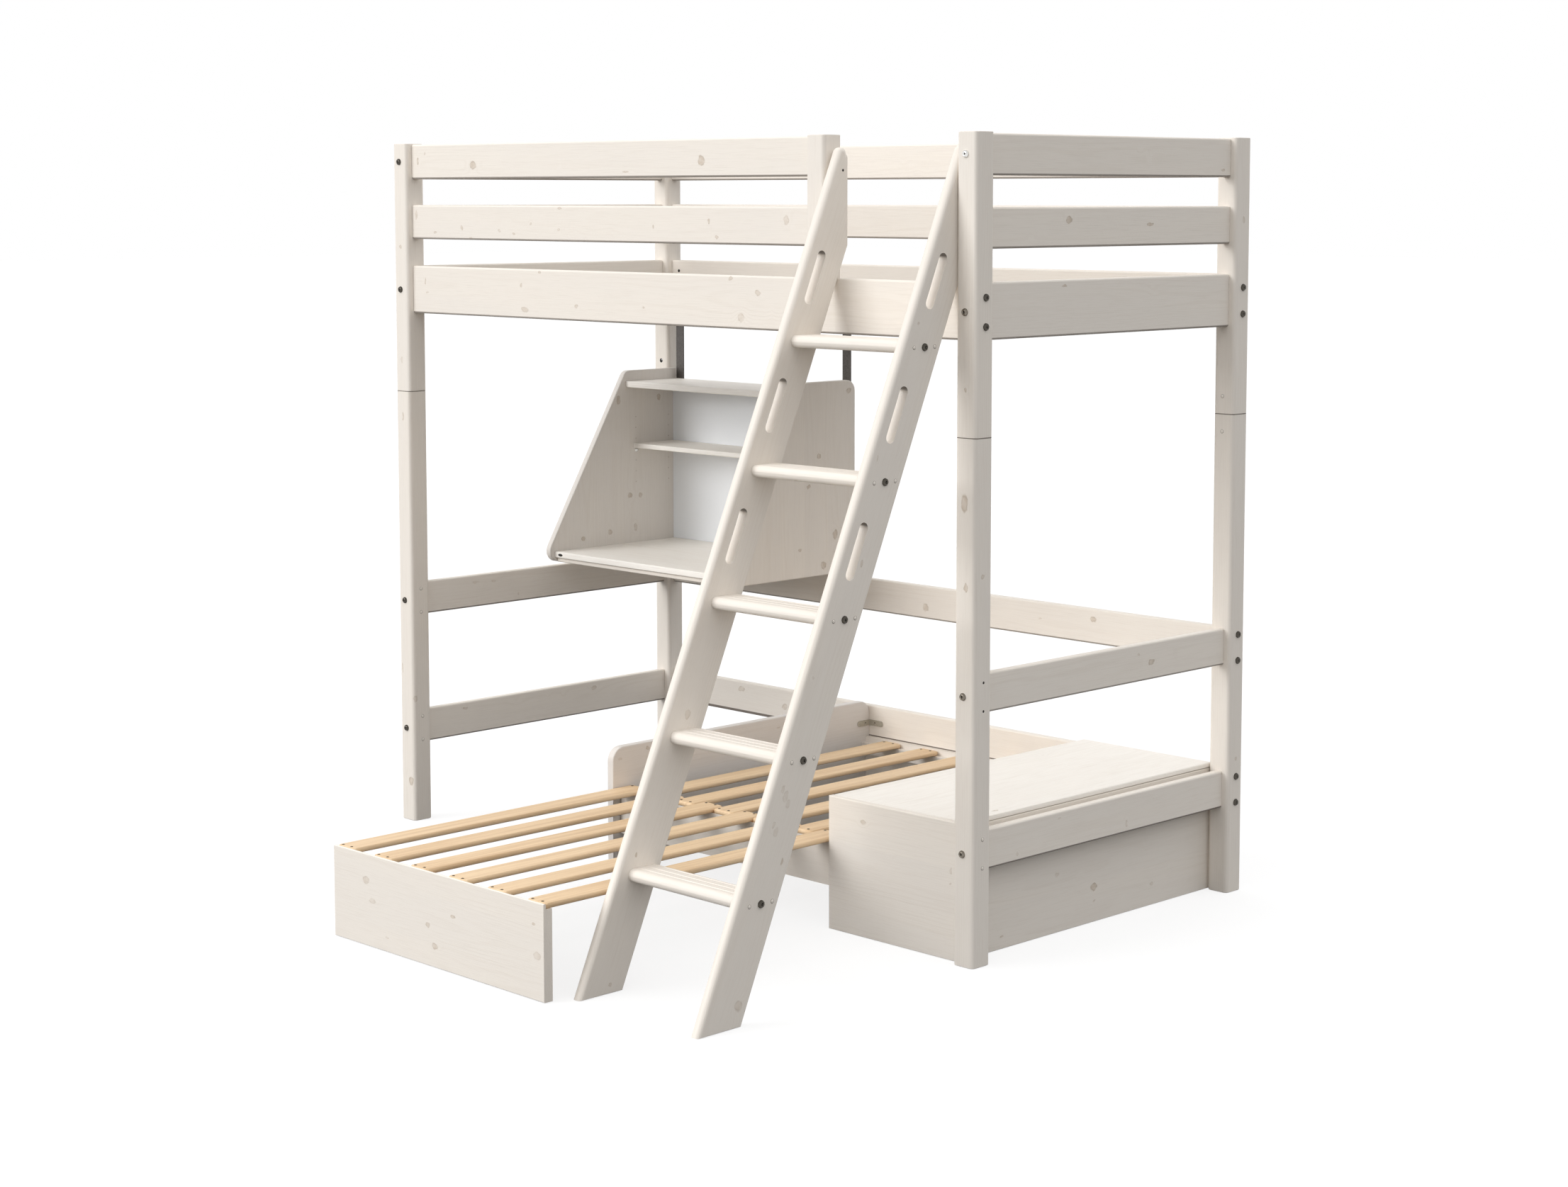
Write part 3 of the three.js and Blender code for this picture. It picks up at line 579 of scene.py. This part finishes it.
def slatMaterial(name):
    # Beech slats above, and the pine bar that they are screwed to below
    material, tree = newMaterial("slats_" + name)
    isSlat = calc(tree, "GREATER_THAN", separate(tree, objectCoords(tree))[2], beech["barTop"])
    wood, bar = beechShader(tree), pineShader(tree, name, *boards["slat_bar"])
    finishMaterial(tree, addNode(tree, "MixShader", {0: isSlat, 1: bar.outputs[0], 2: wood.outputs[0]}))
    return material


# The two woven tapes under the loft's slats: their weave is in radians per metre, their place in metres
webbing = {
    "colour": tint(160, 156, 150), "shade": tint(122, 117, 110), "roughness": 0.85, "relief": (0.6, 0.0006),
    "warp": 1240.0, "weft": 1860.0, "top": 1.4522, "half": 0.0151, "middles": (0.174, 0.640),
}


def loftSlatMaterial(name):
    # Grey-stained pine slats, each cut from its own board, on two woven tapes
    material, tree = newMaterial("loftSlats")
    wood = pineShader(tree, name, *boards["loft_slats"])
    layOver(tree, wood, 1.0, stainAndShade[name], "MULTIPLY")
    x, y, z = separate(tree, objectCoords(tree))
    warp = calc(tree, "SINE", calc(tree, "MULTIPLY", x, webbing["warp"]))
    weft = calc(tree, "SINE", calc(tree, "MULTIPLY", y, webbing["weft"]))
    weave = calc(tree, "MULTIPLY", warp, weft)
    colour = blendColour(tree, remap(tree, weave, -1.0, 1.0), webbing["shade"], webbing["colour"])
    tape = surface(tree, colour, webbing["roughness"], relief(tree, weave, *webbing["relief"]))
    away = [calc(tree, "ABSOLUTE", calc(tree, "SUBTRACT", y, middle)) for middle in webbing["middles"]]
    onTape = calc(tree, "LESS_THAN", calc(tree, "MINIMUM", *away), webbing["half"])
    isTape = calc(tree, "MULTIPLY", onTape, calc(tree, "LESS_THAN", z, webbing["top"]))
    finishMaterial(tree, addNode(tree, "MixShader", {0: isTape, 1: wood.outputs[0], 2: tape.outputs[0]}))
    return material


# Metals, holes, the magnetic board and the hinge
metal = {"mottle": (0.35, 0.7), "darker": 0.72, "glossSpread": 0.14, "relief": (0.15, 0.0002)}


def metalMaterial(name, colour, roughness, grit=420.0, metallic=1.0):
    # Plated or lacquered steel, or the dark of a hole: fine mottling in colour and gloss
    material, tree = newMaterial(name)
    cloud = clouds(tree, objectCoords(tree), grit, 3.0)
    darker = tuple(metal["darker"] * channel for channel in colour[:3]) + (1.0,)
    paint = blendColour(tree, remap(tree, cloud, *metal["mottle"]), colour, darker)
    rough = timesPlus(tree, cloud, metal["glossSpread"], roughness - metal["glossSpread"] / 2)
    finishMaterial(tree, surface(tree, paint, rough, relief(tree, cloud, *metal["relief"]), Metallic=metallic))
    return material


hinge = {
    "plate": tint(190, 182, 168), "shade": tint(160, 150, 136), "gapGrooveShade": tint(60, 54, 48), "grit": 380.0,
    "roughness": 0.24, "glossSpread": 0.16, "knuckle": 0.0125, "gapEdge": (0.0007, 0.0003), "relief": (0.8, 0.0008),
}


def hingeMaterial():
    # Plated piano hinge: fine gaps between its knuckles, a groove in the bump with painted shade in it
    material, tree = newMaterial("pianoHinge")
    coords = objectCoords(tree)
    gapGrooveShade = remap(tree, calc(tree, "PINGPONG", separate(tree, coords)[1], hinge["knuckle"]), *hinge["gapEdge"])
    cloud = clouds(tree, coords, hinge["grit"], 2.0)
    paint = blendColour(tree, remap(tree, cloud, *metal["mottle"]), hinge["plate"], hinge["shade"])
    paint = blendColour(tree, gapGrooveShade, paint, hinge["gapGrooveShade"])
    rough = timesPlus(tree, cloud, hinge["glossSpread"], hinge["roughness"])
    finishMaterial(tree, surface(tree, paint, rough, relief(tree, gapGrooveShade, *hinge["relief"]), Metallic=1.0))
    return material


magnetBoard = {
    "colour": tint(243, 247, 251), "pale": tint(248, 250, 253), "toneScale": 2.5,
    "peelScale": 260.0, "relief": (0.05, 0.0003), "roughness": 0.26, "glossSpread": 0.08,
}


def magnetMaterial():
    # Pale enamelled sheet with a faint orange-peel
    material, tree = newMaterial("magnetBoard")
    coords = objectCoords(tree)
    peel = clouds(tree, coords, magnetBoard["peelScale"], 2.0)
    tone = clouds(tree, coords, magnetBoard["toneScale"], 1.0)
    colour = blendColour(tree, tone, magnetBoard["colour"], magnetBoard["pale"])
    rough = timesPlus(tree, peel, magnetBoard["glossSpread"], magnetBoard["roughness"])
    finishMaterial(tree, surface(tree, colour, rough, relief(tree, peel, *magnetBoard["relief"])))
    return material


finishes = {
    "desk_magnetic_back": magnetMaterial(),
    "darkSteel": metalMaterial("darkSteel", tint(92, 88, 85), 0.45, 300.0, 0.6),
    "chest_hinge": hingeMaterial(),
    "seat_bracket": metalMaterial("bracketPlate", tint(196, 189, 174), 0.32, 420.0, 0.25),
    # Bolts of one kind in three tones of painted reflection; the bright one is also the shelf pins' plating
    "paintedMidReflectionBolt": metalMaterial("paintedMidReflectionBolt", tint(134, 127, 117), 0.24),
    "paintedDarkReflectionBolt": metalMaterial("paintedDarkReflectionBolt", tint(84, 80, 74), 0.18),
    "brightPlatingAndPaintedGlint": metalMaterial("brightPlatingAndPaintedGlint", tint(232, 232, 230), 0.22),
    "darkScrew": metalMaterial("darkScrew", tint(98, 84, 68), 0.4),
    # Dark discs of painted shade for holes, sockets and the desktop's edge spot
    "holeShade": metalMaterial("paintedHoleShade", tint(38, 33, 29), 0.8, 300.0, 0.0),
    # Faint discs of painted shade for the desk's pin holes
    "pinHoleShade": metalMaterial("paintedPinHoleShade", tint(208, 200, 191), 0.8, 300.0, 0.0),
    # Dark bands of painted shade for seams, joints, plug rings and bracket holes
    "seamShade": metalMaterial("shadowedSeam", tint(118, 109, 100), 0.8, 300.0, 0.0),
}

# Edges: an angle in degrees up to which faces shade as one, and the round at a rail's ends
edges = {"weld": 0.00003, "smoothTo": 50, "rungSmoothTo": 34, "railEnds": 0.0045, "endSteps": 3, "endsFrom": 60}


def smoothShading(obj, angle, easedEnds=0.0):
    # Rounded edges shade smoothly and flat faces stay flat; the solid's points aren't touched
    for polygon in obj.data.polygons:
        polygon.use_smooth = True
    weld = obj.modifiers.new("weld", "WELD")
    weld.merge_threshold = edges["weld"]
    if easedEnds:
        ease = obj.modifiers.new("easedEnds", "BEVEL")
        ease.width, ease.segments = easedEnds, edges["endSteps"]
        ease.limit_method, ease.angle_limit = "ANGLE", math.radians(edges["endsFrom"])
    split = obj.modifiers.new("crispEdges", "EDGE_SPLIT")
    split.split_angle = math.radians(angle)
    split.use_edge_sharp = False
    even = obj.modifiers.new("evenNormals", "WEIGHTED_NORMAL")
    even.weight = 100


for name, obj in nodes.items():
    if name == "loft_slat_base":
        material = loftSlatMaterial(name)
    elif name in ("seat_fixed_slats", "pullout_slats"):
        material = slatMaterial(name)
    elif name in finishes:
        material = finishes[name]
    elif name.endswith("_strap"):
        material = finishes["darkSteel"]
    else:
        material = pineMaterial(name)
    obj.data.materials.clear()
    obj.data.materials.append(material)
    smoothTo = edges["rungSmoothTo"] if name.startswith("ladder_rung") else edges["smoothTo"]
    smoothShading(obj, smoothTo, edges["railEnds"] if name.endswith("_rail") else 0.0)
print("bed: finishes on", len(nodes), "nodes")


# Fixings, turned from profiles

def makePiece(name, vertices, faces, body, finish, slotName, smooth=True):
    mesh = bpy.data.meshes.new(name)
    mesh.from_pydata(vertices.tolist(), [], faces)
    mesh.update()
    mesh.polygons.foreach_set("use_smooth", [smooth] * len(mesh.polygons))
    mesh.materials.append(finish)
    piece = bpy.data.objects.new(name, mesh)
    bpy.context.scene.collection.objects.link(piece)
    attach(piece, body)


def turned(profile, sides, hexRings=0):
    # Ring k is a circle of radius profile[k][0] at height profile[k][1]; the first hexRings of them are hexagons
    radius, height = np.array(profile).T
    angle = np.arange(sides) * 2 * math.pi / sides
    rings = np.repeat(radius[:, None], sides, axis=1)
    rings[:hexRings] *= math.cos(math.pi / 6) / np.cos(np.mod(angle, math.pi / 3) - math.pi / 6)
    levels = np.repeat(height[:, None], sides, axis=1)
    grid = np.stack([rings * np.cos(angle), rings * np.sin(angle), levels], axis=-1)
    vertices = np.vstack([grid.reshape(-1, 3), [[0, 0, height[0]], [0, 0, height[-1]]]])
    # Walls between rings, then a fan to the middle point at the top and at the foot
    k, j = np.meshgrid(np.arange(len(profile) - 1), np.arange(sides), indexing="ij")
    after = (j + 1) % sides
    walls = np.stack([k * sides + j, (k + 1) * sides + j, (k + 1) * sides + after, k * sides + after], axis=-1)
    ring = np.arange(sides)
    onward = np.roll(ring, -1)
    top, foot, last = len(profile) * sides, len(profile) * sides + 1, (len(profile) - 1) * sides
    upper = np.stack([np.full(sides, top), ring, onward], axis=1)
    lower = np.stack([np.full(sides, foot), last + onward, last + ring], axis=1)
    return vertices / 1000.0, walls.reshape(-1, 4).tolist() + upper.tolist() + lower.tolist()


def turnTo(axis, spin):
    # Columns of a frame whose third direction is the axis, turned round it by the spin
    third = np.array(axis, float) / np.linalg.norm(axis)
    side = np.cross((0.0, 0.0, 1.0), third) if abs(third[2]) < 0.9 else np.array((1.0, 0.0, 0.0))
    side /= np.linalg.norm(side)
    other = np.cross(third, side)
    first = math.cos(spin) * side + math.sin(spin) * other
    second = math.cos(spin) * other - math.sin(spin) * side
    return np.stack([first, second, third], axis=1)


def joined(shapes):
    # Several closed shapes in one mesh: each one's corners count on from the last
    starts = np.cumsum([0] + [len(points) for points, _ in shapes]).tolist()
    faces = [[corner + start for corner in face] for start, (_, own) in zip(starts, shapes) for face in own]
    return np.vstack([points for points, _ in shapes]), faces


def many(shape, places, spin=0.7):
    # The same shape at each (point in mm, axis), each turned further than the last by the spin
    vertices, faces = shape
    turns = [turnTo(axis, spin * number) for number, (_, axis) in enumerate(places)]
    return joined([(vertices @ turn.T + spot(*point), faces) for turn, (point, _) in zip(turns, places)])


def addFixings(name, shape, places, finish, slotName, body="bed", size=(1.0, 1.0, 1.0)):
    vertices, faces = shape
    makePiece(name, *many((vertices * np.array(size), faces), places), body, finishes[finish], slotName)


# Profiles from the middle of the head out to the wood: radius and height in mm
profiles = {
    "bolt": [
        (2.9, 2.0), (3.2, 2.1), (3.4, 4.9), (4.0, 5.5), (4.9, 5.3),
        (6.3, 4.6), (7.6, 3.3), (8.4, 1.5), (8.6, 0.3), (8.4, -0.4),
    ],
    "socket": [(2.2, 2.3), (3.0, 2.25), (3.1, 1.9)],
    "plug": [(1.4, 1.35), (2.6, 1.15), (3.5, 0.75), (4.1, 0.05), (4.1, -0.5)],
    "plugSeat": [(3.9, 0.16), (4.65, 0.10), (4.8, -0.4)],
    "pin": [(1.9, 8.6), (2.5, 8.1), (2.5, 1.5), (5.0, 1.4), (5.6, 1.0), (5.6, -0.3)],
    "hole": [(1.2, 0.02), (2.4, 0.03), (2.9, 0.12), (3.1, 0.0), (3.1, -0.4)],
    "screw": [(0.9, 0.25), (1.3, 0.3), (1.6, 0.75), (2.6, 0.7), (3.4, 0.3), (3.6, 0.0), (3.6, -0.4)],
}
boltShape = turned(profiles["bolt"], 36, hexRings=3)
socketShape = turned(profiles["socket"], 36, hexRings=3)
plugShape = turned(profiles["plug"], 20)
plugSeatShape = turned(profiles["plugSeat"], 20)
pinShape = turned(profiles["pin"], 20)
holeShape = turned(profiles["hole"], 20)
screwShape = turned(profiles["screw"], 18)

front, right, left, back, upward = (0, -1, 0), (1, 0, 0), (-1, 0, 0), (0, 1, 0), (0, 0, 1)

# Posts: bolts through the front faces, the back faces and the ends, and wood plugs where pegs meet them
posts = {
    "length": 2103.0, "width": 1000.0, "thick": 60.0,
    "middles": ((30.0, 30.0), (2073.0, 30.0), (30.0, 970.0), (2073.0, 970.0)),
    "levels": (1801.4, 1458.3, 609.7, 255.8), "frontLeft": 28.0, "frontRight": 2070.3, "topRight": 1801.2,
    "endLevels": (1490.1, 1426.1, 641.2, 577.2, 288.4, 223.8), "endBack": 972.0, "endFront": 31.5,
    "rightEnd": 31.8, "rightBolts": (1490.1, 1426.1), "rightHoles": (641.2, 577.0), "innerPlugs": 30.6,
    "rightPlugs": ((31.3, 289.0), (31.3, 224.3)), "backPlugs": ((2070.0, 940.0, 1226.2), (2070.0, 940.0, 1140.1)),
}
postBolts, postPlugs = [], []
for z in posts["levels"]:
    postBolts.append(((posts["frontLeft"], 0.0, z), front))
    if z != posts["levels"][0]:
        postBolts.append(((posts["frontRight"], 0.0, z), front))
for z in posts["endLevels"]:
    postBolts.append(((posts["length"], posts["endBack"], z), right))
    postBolts += [((0.0, y, z), left) for y in (posts["endBack"], posts["endFront"])]
    postPlugs.append(((posts["thick"], posts["innerPlugs"], z), right))
postBolts += [((posts["length"], posts["rightEnd"], z), right) for z in posts["rightBolts"]]
postHoles = [((posts["length"], posts["rightEnd"], z), right) for z in posts["rightHoles"]]
postPlugs += [((posts["length"], y, z), right) for y, z in posts["rightPlugs"]]
postPlugs += [(place, front) for place in posts["backPlugs"]]
for x, y in posts["middles"][2:]:
    postBolts += [((x, posts["width"], z), back) for z in posts["levels"]]
sideBolts = [place for place in postBolts if place[1][0]]
faceBolts = [place for place in postBolts if not place[1][0]]
leftBolts = [place for place in faceBolts if place[0][0] < posts["length"] / 2]
rightBolts = [place for place in faceBolts if place[0][0] > posts["length"] / 2]
topBolt = [((posts["frontRight"], 0.0, posts["topRight"]), front)]
# Painted reflections: the left and side bolts darker, the right front ones lighter, the top one brightest
addFixings("post_left_bolts", boltShape, leftBolts, "paintedDarkReflectionBolt", "nickel")
addFixings("post_front_bolts", boltShape, rightBolts, "paintedMidReflectionBolt", "nickel")
addFixings("post_side_bolts", boltShape, sideBolts, "paintedDarkReflectionBolt", "nickel")
addFixings("post_bolt_sockets", socketShape, faceBolts + sideBolts + topBolt, "holeShade", "dark_steel")
addFixings("post_top_bolt", boltShape, topBolt, "brightPlatingAndPaintedGlint", "nickel")

finishes["plug"], plugTree = newMaterial("pinePlugs")
finishMaterial(plugTree, pineShader(plugTree, "front_right_lower_post", *boards["plug"]))
addFixings("post_plugs", plugShape, postPlugs, "plug", "pine")
# A thin ring of painted shade round each plug
addFixings("post_plug_seats", plugSeatShape, postPlugs, "seamShade", "pine")
addFixings("post_holes", holeShape, postHoles, "holeShade", "dark_steel")

# Ladder: a bolt and two plugs at each end of each rung, and a hole through its guard post
ladderBolts, ladderPlugs = [], []
for rung in range(ladder["rungs"]):
    z = ladder["firstZ"] + ladder["rise"] * rung
    y = ladder["firstY"] + math.tan(ladder["lean"]) * ladder["rise"] * rung
    for x, axis in ((ladder["rightFace"], right), (ladder["leftFace"], left)):
        ladderBolts.append(((x, y, z), axis))
        ladderPlugs += [((x, y + beside, z), axis) for beside in ladder["plugsBeside"]]
ladderHole = [((1671.7, 28.0, 1768.6), right)]
addFixings("ladder_bolts", boltShape, ladderBolts, "paintedDarkReflectionBolt", "nickel")
addFixings("ladder_bolt_sockets", socketShape, ladderBolts, "holeShade", "dark_steel")
addFixings("ladder_plugs", plugShape, ladderPlugs, "plug", "pine")
addFixings("ladder_plug_seats", plugSeatShape, ladderPlugs, "seamShade", "pine")
addFixings("ladder_top_hole", holeShape, ladderHole, "holeShade", "dark_steel")


def roundedRing(reach, radius, corners):
    # A rectangle with rounded corners, walked round once: a quarter circle round each corner of the reach
    quarter = np.linspace(0, math.pi / 2, corners)
    angle = (quarter + np.arange(4)[:, None] * math.pi / 2).ravel()
    signs = np.repeat(np.array([(1, 1), (-1, 1), (-1, -1), (1, -1)]), corners, axis=0)
    return signs * reach + radius * np.stack([np.cos(angle), np.sin(angle)], axis=1)


def bandFaces(count):
    # Walls between two equal rings, and each ring closed by one face
    around = np.arange(count)
    after = np.roll(around, -1)
    walls = np.stack([around, after, after + count, around + count], axis=1)
    return walls.tolist() + [around[::-1].tolist(), (around + count).tolist()]


# Posts meet in two lengths: a dark band of painted shade stands for the shadowed joint round each of them
seamShade = {"level": 1182.6, "height": 1.0, "side": 60.1, "round": 11.0, "corners": 8}


def seamBand(x, y):
    # The post's section walked round once, at two heights
    ring = roundedRing(seamShade["side"] / 2 - seamShade["round"], seamShade["round"], seamShade["corners"]) + (x, y)
    levels = seamShade["level"] + np.array((-0.5, 0.5)) * seamShade["height"]
    points = np.vstack([np.column_stack([ring, np.full(len(ring), level)]) for level in levels])
    return (points + footCorner) / 1000.0, bandFaces(len(ring))


bands = joined([seamBand(x, y) for x, y in posts["middles"]])
makePiece("post_seam_shade", *bands, "bed", finishes["seamShade"], "pine", smooth=False)

# Rails meet the posts in a fine groove: a dark band of painted shade round each end
joint = {"thick": 1.3, "inset": 1.3, "round": 3.7, "corners": 5}


def jointBand(low, high, run, end):
    # The rail's section drawn in by the inset and walked round once, at two places along the rail
    sides = [1 - run, 2]
    reach = (high - low)[sides] / 2 - joint["inset"] - joint["round"]
    ring = roundedRing(reach, joint["round"], joint["corners"])
    ring = ring[::-1] if run else ring
    points = np.zeros((2 * len(ring), 3))
    points[:, sides] = np.tile(ring + ((low + high) / 2)[sides], (2, 1))
    start = low[run] if end < 0 else high[run] - joint["thick"]
    points[:, run] = np.repeat([start, start + joint["thick"]], len(ring))
    return points / 1000.0, bandFaces(len(ring))


railEnds = []
for name in nodes:
    if name.endswith("_rail"):
        low, high = (np.array(corner) * 1000.0 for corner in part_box(name))
        railEnds += [jointBand(low, high, 1 if "_end_" in name else 0, end) for end in (-1, 1)]
makePiece("rail_joint_shade", *joined(railEnds), "bed", finishes["seamShade"], "pine", smooth=False)

# Desk: rows of pin holes as faint discs of painted shade, the middle shelf's pins, and a dark spot of painted shade
# in the desktop's front edge
desk = {
    "innerLeft": 81.9, "innerRight": 796.0, "rows": (795.4, 922.8), "holeSize": (0.66, 0.66, 1.0), "pitch": 31.6,
    "steps": (-3, -2, -1, 1, 2, 3), "holeLevel": 976.0, "pinsUnder": 1.8,
    "edgeSpotShade": (105.4, 486.9, 695.1), "spotSize": (3.1, 1.25, 1.0),
}
deskHoles, deskPins = [], []
for y in desk["rows"]:
    for x, axis in ((desk["innerLeft"], right), (desk["innerRight"], left)):
        deskPins.append(((x, y, desk["holeLevel"] - desk["pinsUnder"]), axis))
        deskHoles += [((x, y, desk["holeLevel"] + step * desk["pitch"]), axis) for step in desk["steps"]]
edgeSpotShade = [(desk["edgeSpotShade"], front)]
addFixings("desk_pin_holes", holeShape, deskHoles, "pinHoleShade", "dark_steel", size=desk["holeSize"])
addFixings("desk_shelf_pins", pinShape, deskPins, "brightPlatingAndPaintedGlint", "nickel")
addFixings("desktop_edge_shade", holeShape, edgeSpotShade, "holeShade", "dark_steel", size=desk["spotSize"])

# Spare holes as dark discs of painted shade: one in the back bed rail, and one through the back left post with a pale
# disc of painted light at its far end
spare = {
    "rail": [((90.3, 959.5, 1491.5), front)], "railSize": (1.5, 1.5, 1.0),
    "post": [((32.4, 940.0, 1226.2), front)], "postSize": (2.0, 2.0, 1.0),
    "light": [((35.6, 940.0, 1229.0), front)], "lightSize": (0.7, 0.7, 1.4),
}
addFixings("back_rail_hole", holeShape, spare["rail"], "holeShade", "dark_steel", size=spare["railSize"])
addFixings("post_through_hole", holeShape, spare["post"], "holeShade", "dark_steel", size=spare["postSize"])
addFixings(
    "post_hole_painted_light", holeShape, spare["light"], "desk_magnetic_back", "magnet_board", size=spare["lightSize"]
)

# Bracket: a small screw hole, a disc of painted shade, and a screw in each leg
bracket = {
    "holes": [((870.3, 941.0, 256.0), right), ((890.5, 957.2, 256.0), front)], "holeSize": (0.7, 0.7, 1.0),
    "screws": [((870.3, 920.5, 255.5), right), ((911.0, 957.2, 255.5), front)],
}
addFixings("bracket_holes", holeShape, bracket["holes"], "seamShade", "dark_steel", size=bracket["holeSize"])
addFixings("bracket_screws", screwShape, bracket["screws"], "seat_bracket", "nickel")

# Slats: two screws at each end
slats = {
    "middle": 1248.75, "pitch": 138.0, "top": 215.0, "apart": 16.5, "shift": -5.0,
    "moving": 6, "movingEnds": (-817.0, 72.0), "fixed": 5, "fixedEnds": (52.0, 931.0),
}


def slatScrews(count, ends):
    screws = []
    for number in range(count):
        x = slats["middle"] + slats["pitch"] * (number - (count - 1) / 2) + slats["shift"]
        for y in ends:
            screws += [((x + side, y, slats["top"]), upward) for side in (-slats["apart"], slats["apart"])]
    return screws


fixedScrews = slatScrews(slats["fixed"], slats["fixedEnds"])
movingScrews = slatScrews(slats["moving"], slats["movingEnds"])
addFixings("fixed_slat_screws", screwShape, fixedScrews, "darkScrew", "dark_steel")
addFixings("pullout_slat_screws", screwShape, movingScrews, "darkScrew", "dark_steel", body="pullout")
print("bed: bolts, plugs and screws set")


# Floor, light and camera
studio = {
    "floorHalf": 60.0, "floorLevel": -0.0005, "floorPaint": 0.9, "floorGlow": 1.09, "glowShare": 0.70,
    "floorBounce": 0.06, "evenLight": 0.60, "ringLight": 0.57, "aim": (0.0, 0.0, 0.9),
    "keyFrom": (-0.475, -1.0, 0.46), "keyAway": 16.0, "keySize": (10.0, 9.0), "keyPower": 1480.0,
}


def grey(level):
    return (level, level, level, 1.0)


def seenDirectly(tree):
    # 1 for camera, glossy and transmission rays, 0 for light that goes from surface to surface
    path = addNode(tree, "LightPath").outputs
    mirrored = calc(tree, "MAXIMUM", path["Is Glossy Ray"], path["Is Transmission Ray"])
    return calc(tree, "MAXIMUM", path["Is Camera Ray"], mirrored)


def floorMaterial():
    # The camera and glossy rays see a white floor that keeps a soft shadow; light bounces off a darker one
    material, tree = newMaterial("paleFloor")
    paint = addNode(tree, "BsdfDiffuse", {"Color": grey(studio["floorPaint"])})
    glow = addNode(tree, "Emission", {"Color": grey(1.0), "Strength": studio["floorGlow"]})
    white = addNode(tree, "MixShader", {0: studio["glowShare"], 1: paint.outputs[0], 2: glow.outputs[0]})
    dull = addNode(tree, "BsdfDiffuse", {"Color": grey(studio["floorBounce"])})
    finishMaterial(tree, addNode(tree, "MixShader", {0: seenDirectly(tree), 1: dull.outputs[0], 2: white.outputs[0]}))
    return material


half = studio["floorHalf"]
floorMesh = bpy.data.meshes.new("studio_floor")
floorMesh.from_pydata([(-half, -half, 0), (half, -half, 0), (half, half, 0), (-half, half, 0)], [], [(0, 1, 2, 3)])
floorMesh.materials.append(floorMaterial())
floor = bpy.data.objects.new("studio_floor", floorMesh)
bpy.context.scene.collection.objects.link(floor)
floor.location.z = studio["floorLevel"]

# A dome that is brightest half way up: 2 sin(e) cos(e), with e the height angle; the camera sees it white
world = bpy.data.worlds.new("studio")
bpy.context.scene.world = world
world.use_nodes = True
sky = world.node_tree
sky.nodes.clear()
rise = calc(sky, "MAXIMUM", separate(sky, addNode(sky, "TexCoord").outputs["Generated"])[2], 0.0)
level = calc(sky, "SQRT", calc(sky, "SUBTRACT", 1.0, calc(sky, "MULTIPLY", rise, rise), clamp=True))
dome = timesPlus(sky, calc(sky, "MULTIPLY", rise, level), 2.0 * studio["ringLight"], studio["evenLight"])
strength = addNode(sky, "Mix", {0: seenDirectly(sky), 2: dome, 3: 1.0}).outputs[0]
background = addNode(sky, "Background", {"Color": grey(1.0), "Strength": strength})
sky.links.new(background.outputs[0], sky.nodes.new("ShaderNodeOutputWorld").inputs[0])

# One broad soft lamp from the front left
aim = Vector(studio["aim"])
keyData = bpy.data.lights.new("keyBox", "AREA")
keyData.shape, keyData.energy = "RECTANGLE", studio["keyPower"]
keyData.size, keyData.size_y = studio["keySize"]
keyLamp = bpy.data.objects.new("keyBox", keyData)
bpy.context.scene.collection.objects.link(keyLamp)
keyLamp.location = aim + Vector(studio["keyFrom"]).normalized() * studio["keyAway"]
keyLamp.rotation_euler = (aim - keyLamp.location).to_track_quat("-Z", "Y").to_euler()

# The photograph's place and view, in metres and degrees
photo = {
    "place": (4.9734, -4.5164, 1.7109), "turn": 45.003, "pitch": 5.387,
    "sensor": 36.0, "lens": 62.524, "shift": (-0.0161, -0.09), "farthest": 200.0,
}
camData = bpy.data.cameras.new("camera")
camData.sensor_width, camData.lens = photo["sensor"], photo["lens"]
camData.shift_x, camData.shift_y = photo["shift"]
camData.clip_end = photo["farthest"]
camera = bpy.data.objects.new("camera", camData)
bpy.context.scene.collection.objects.link(camera)
camera.location = photo["place"]
camera.rotation_euler = (math.radians(90 - photo["pitch"]), 0.0, math.radians(photo["turn"]))
bpy.context.scene.camera = camera
bpy.context.scene.view_settings.view_transform = "Standard"
print("bed: studio and camera set")
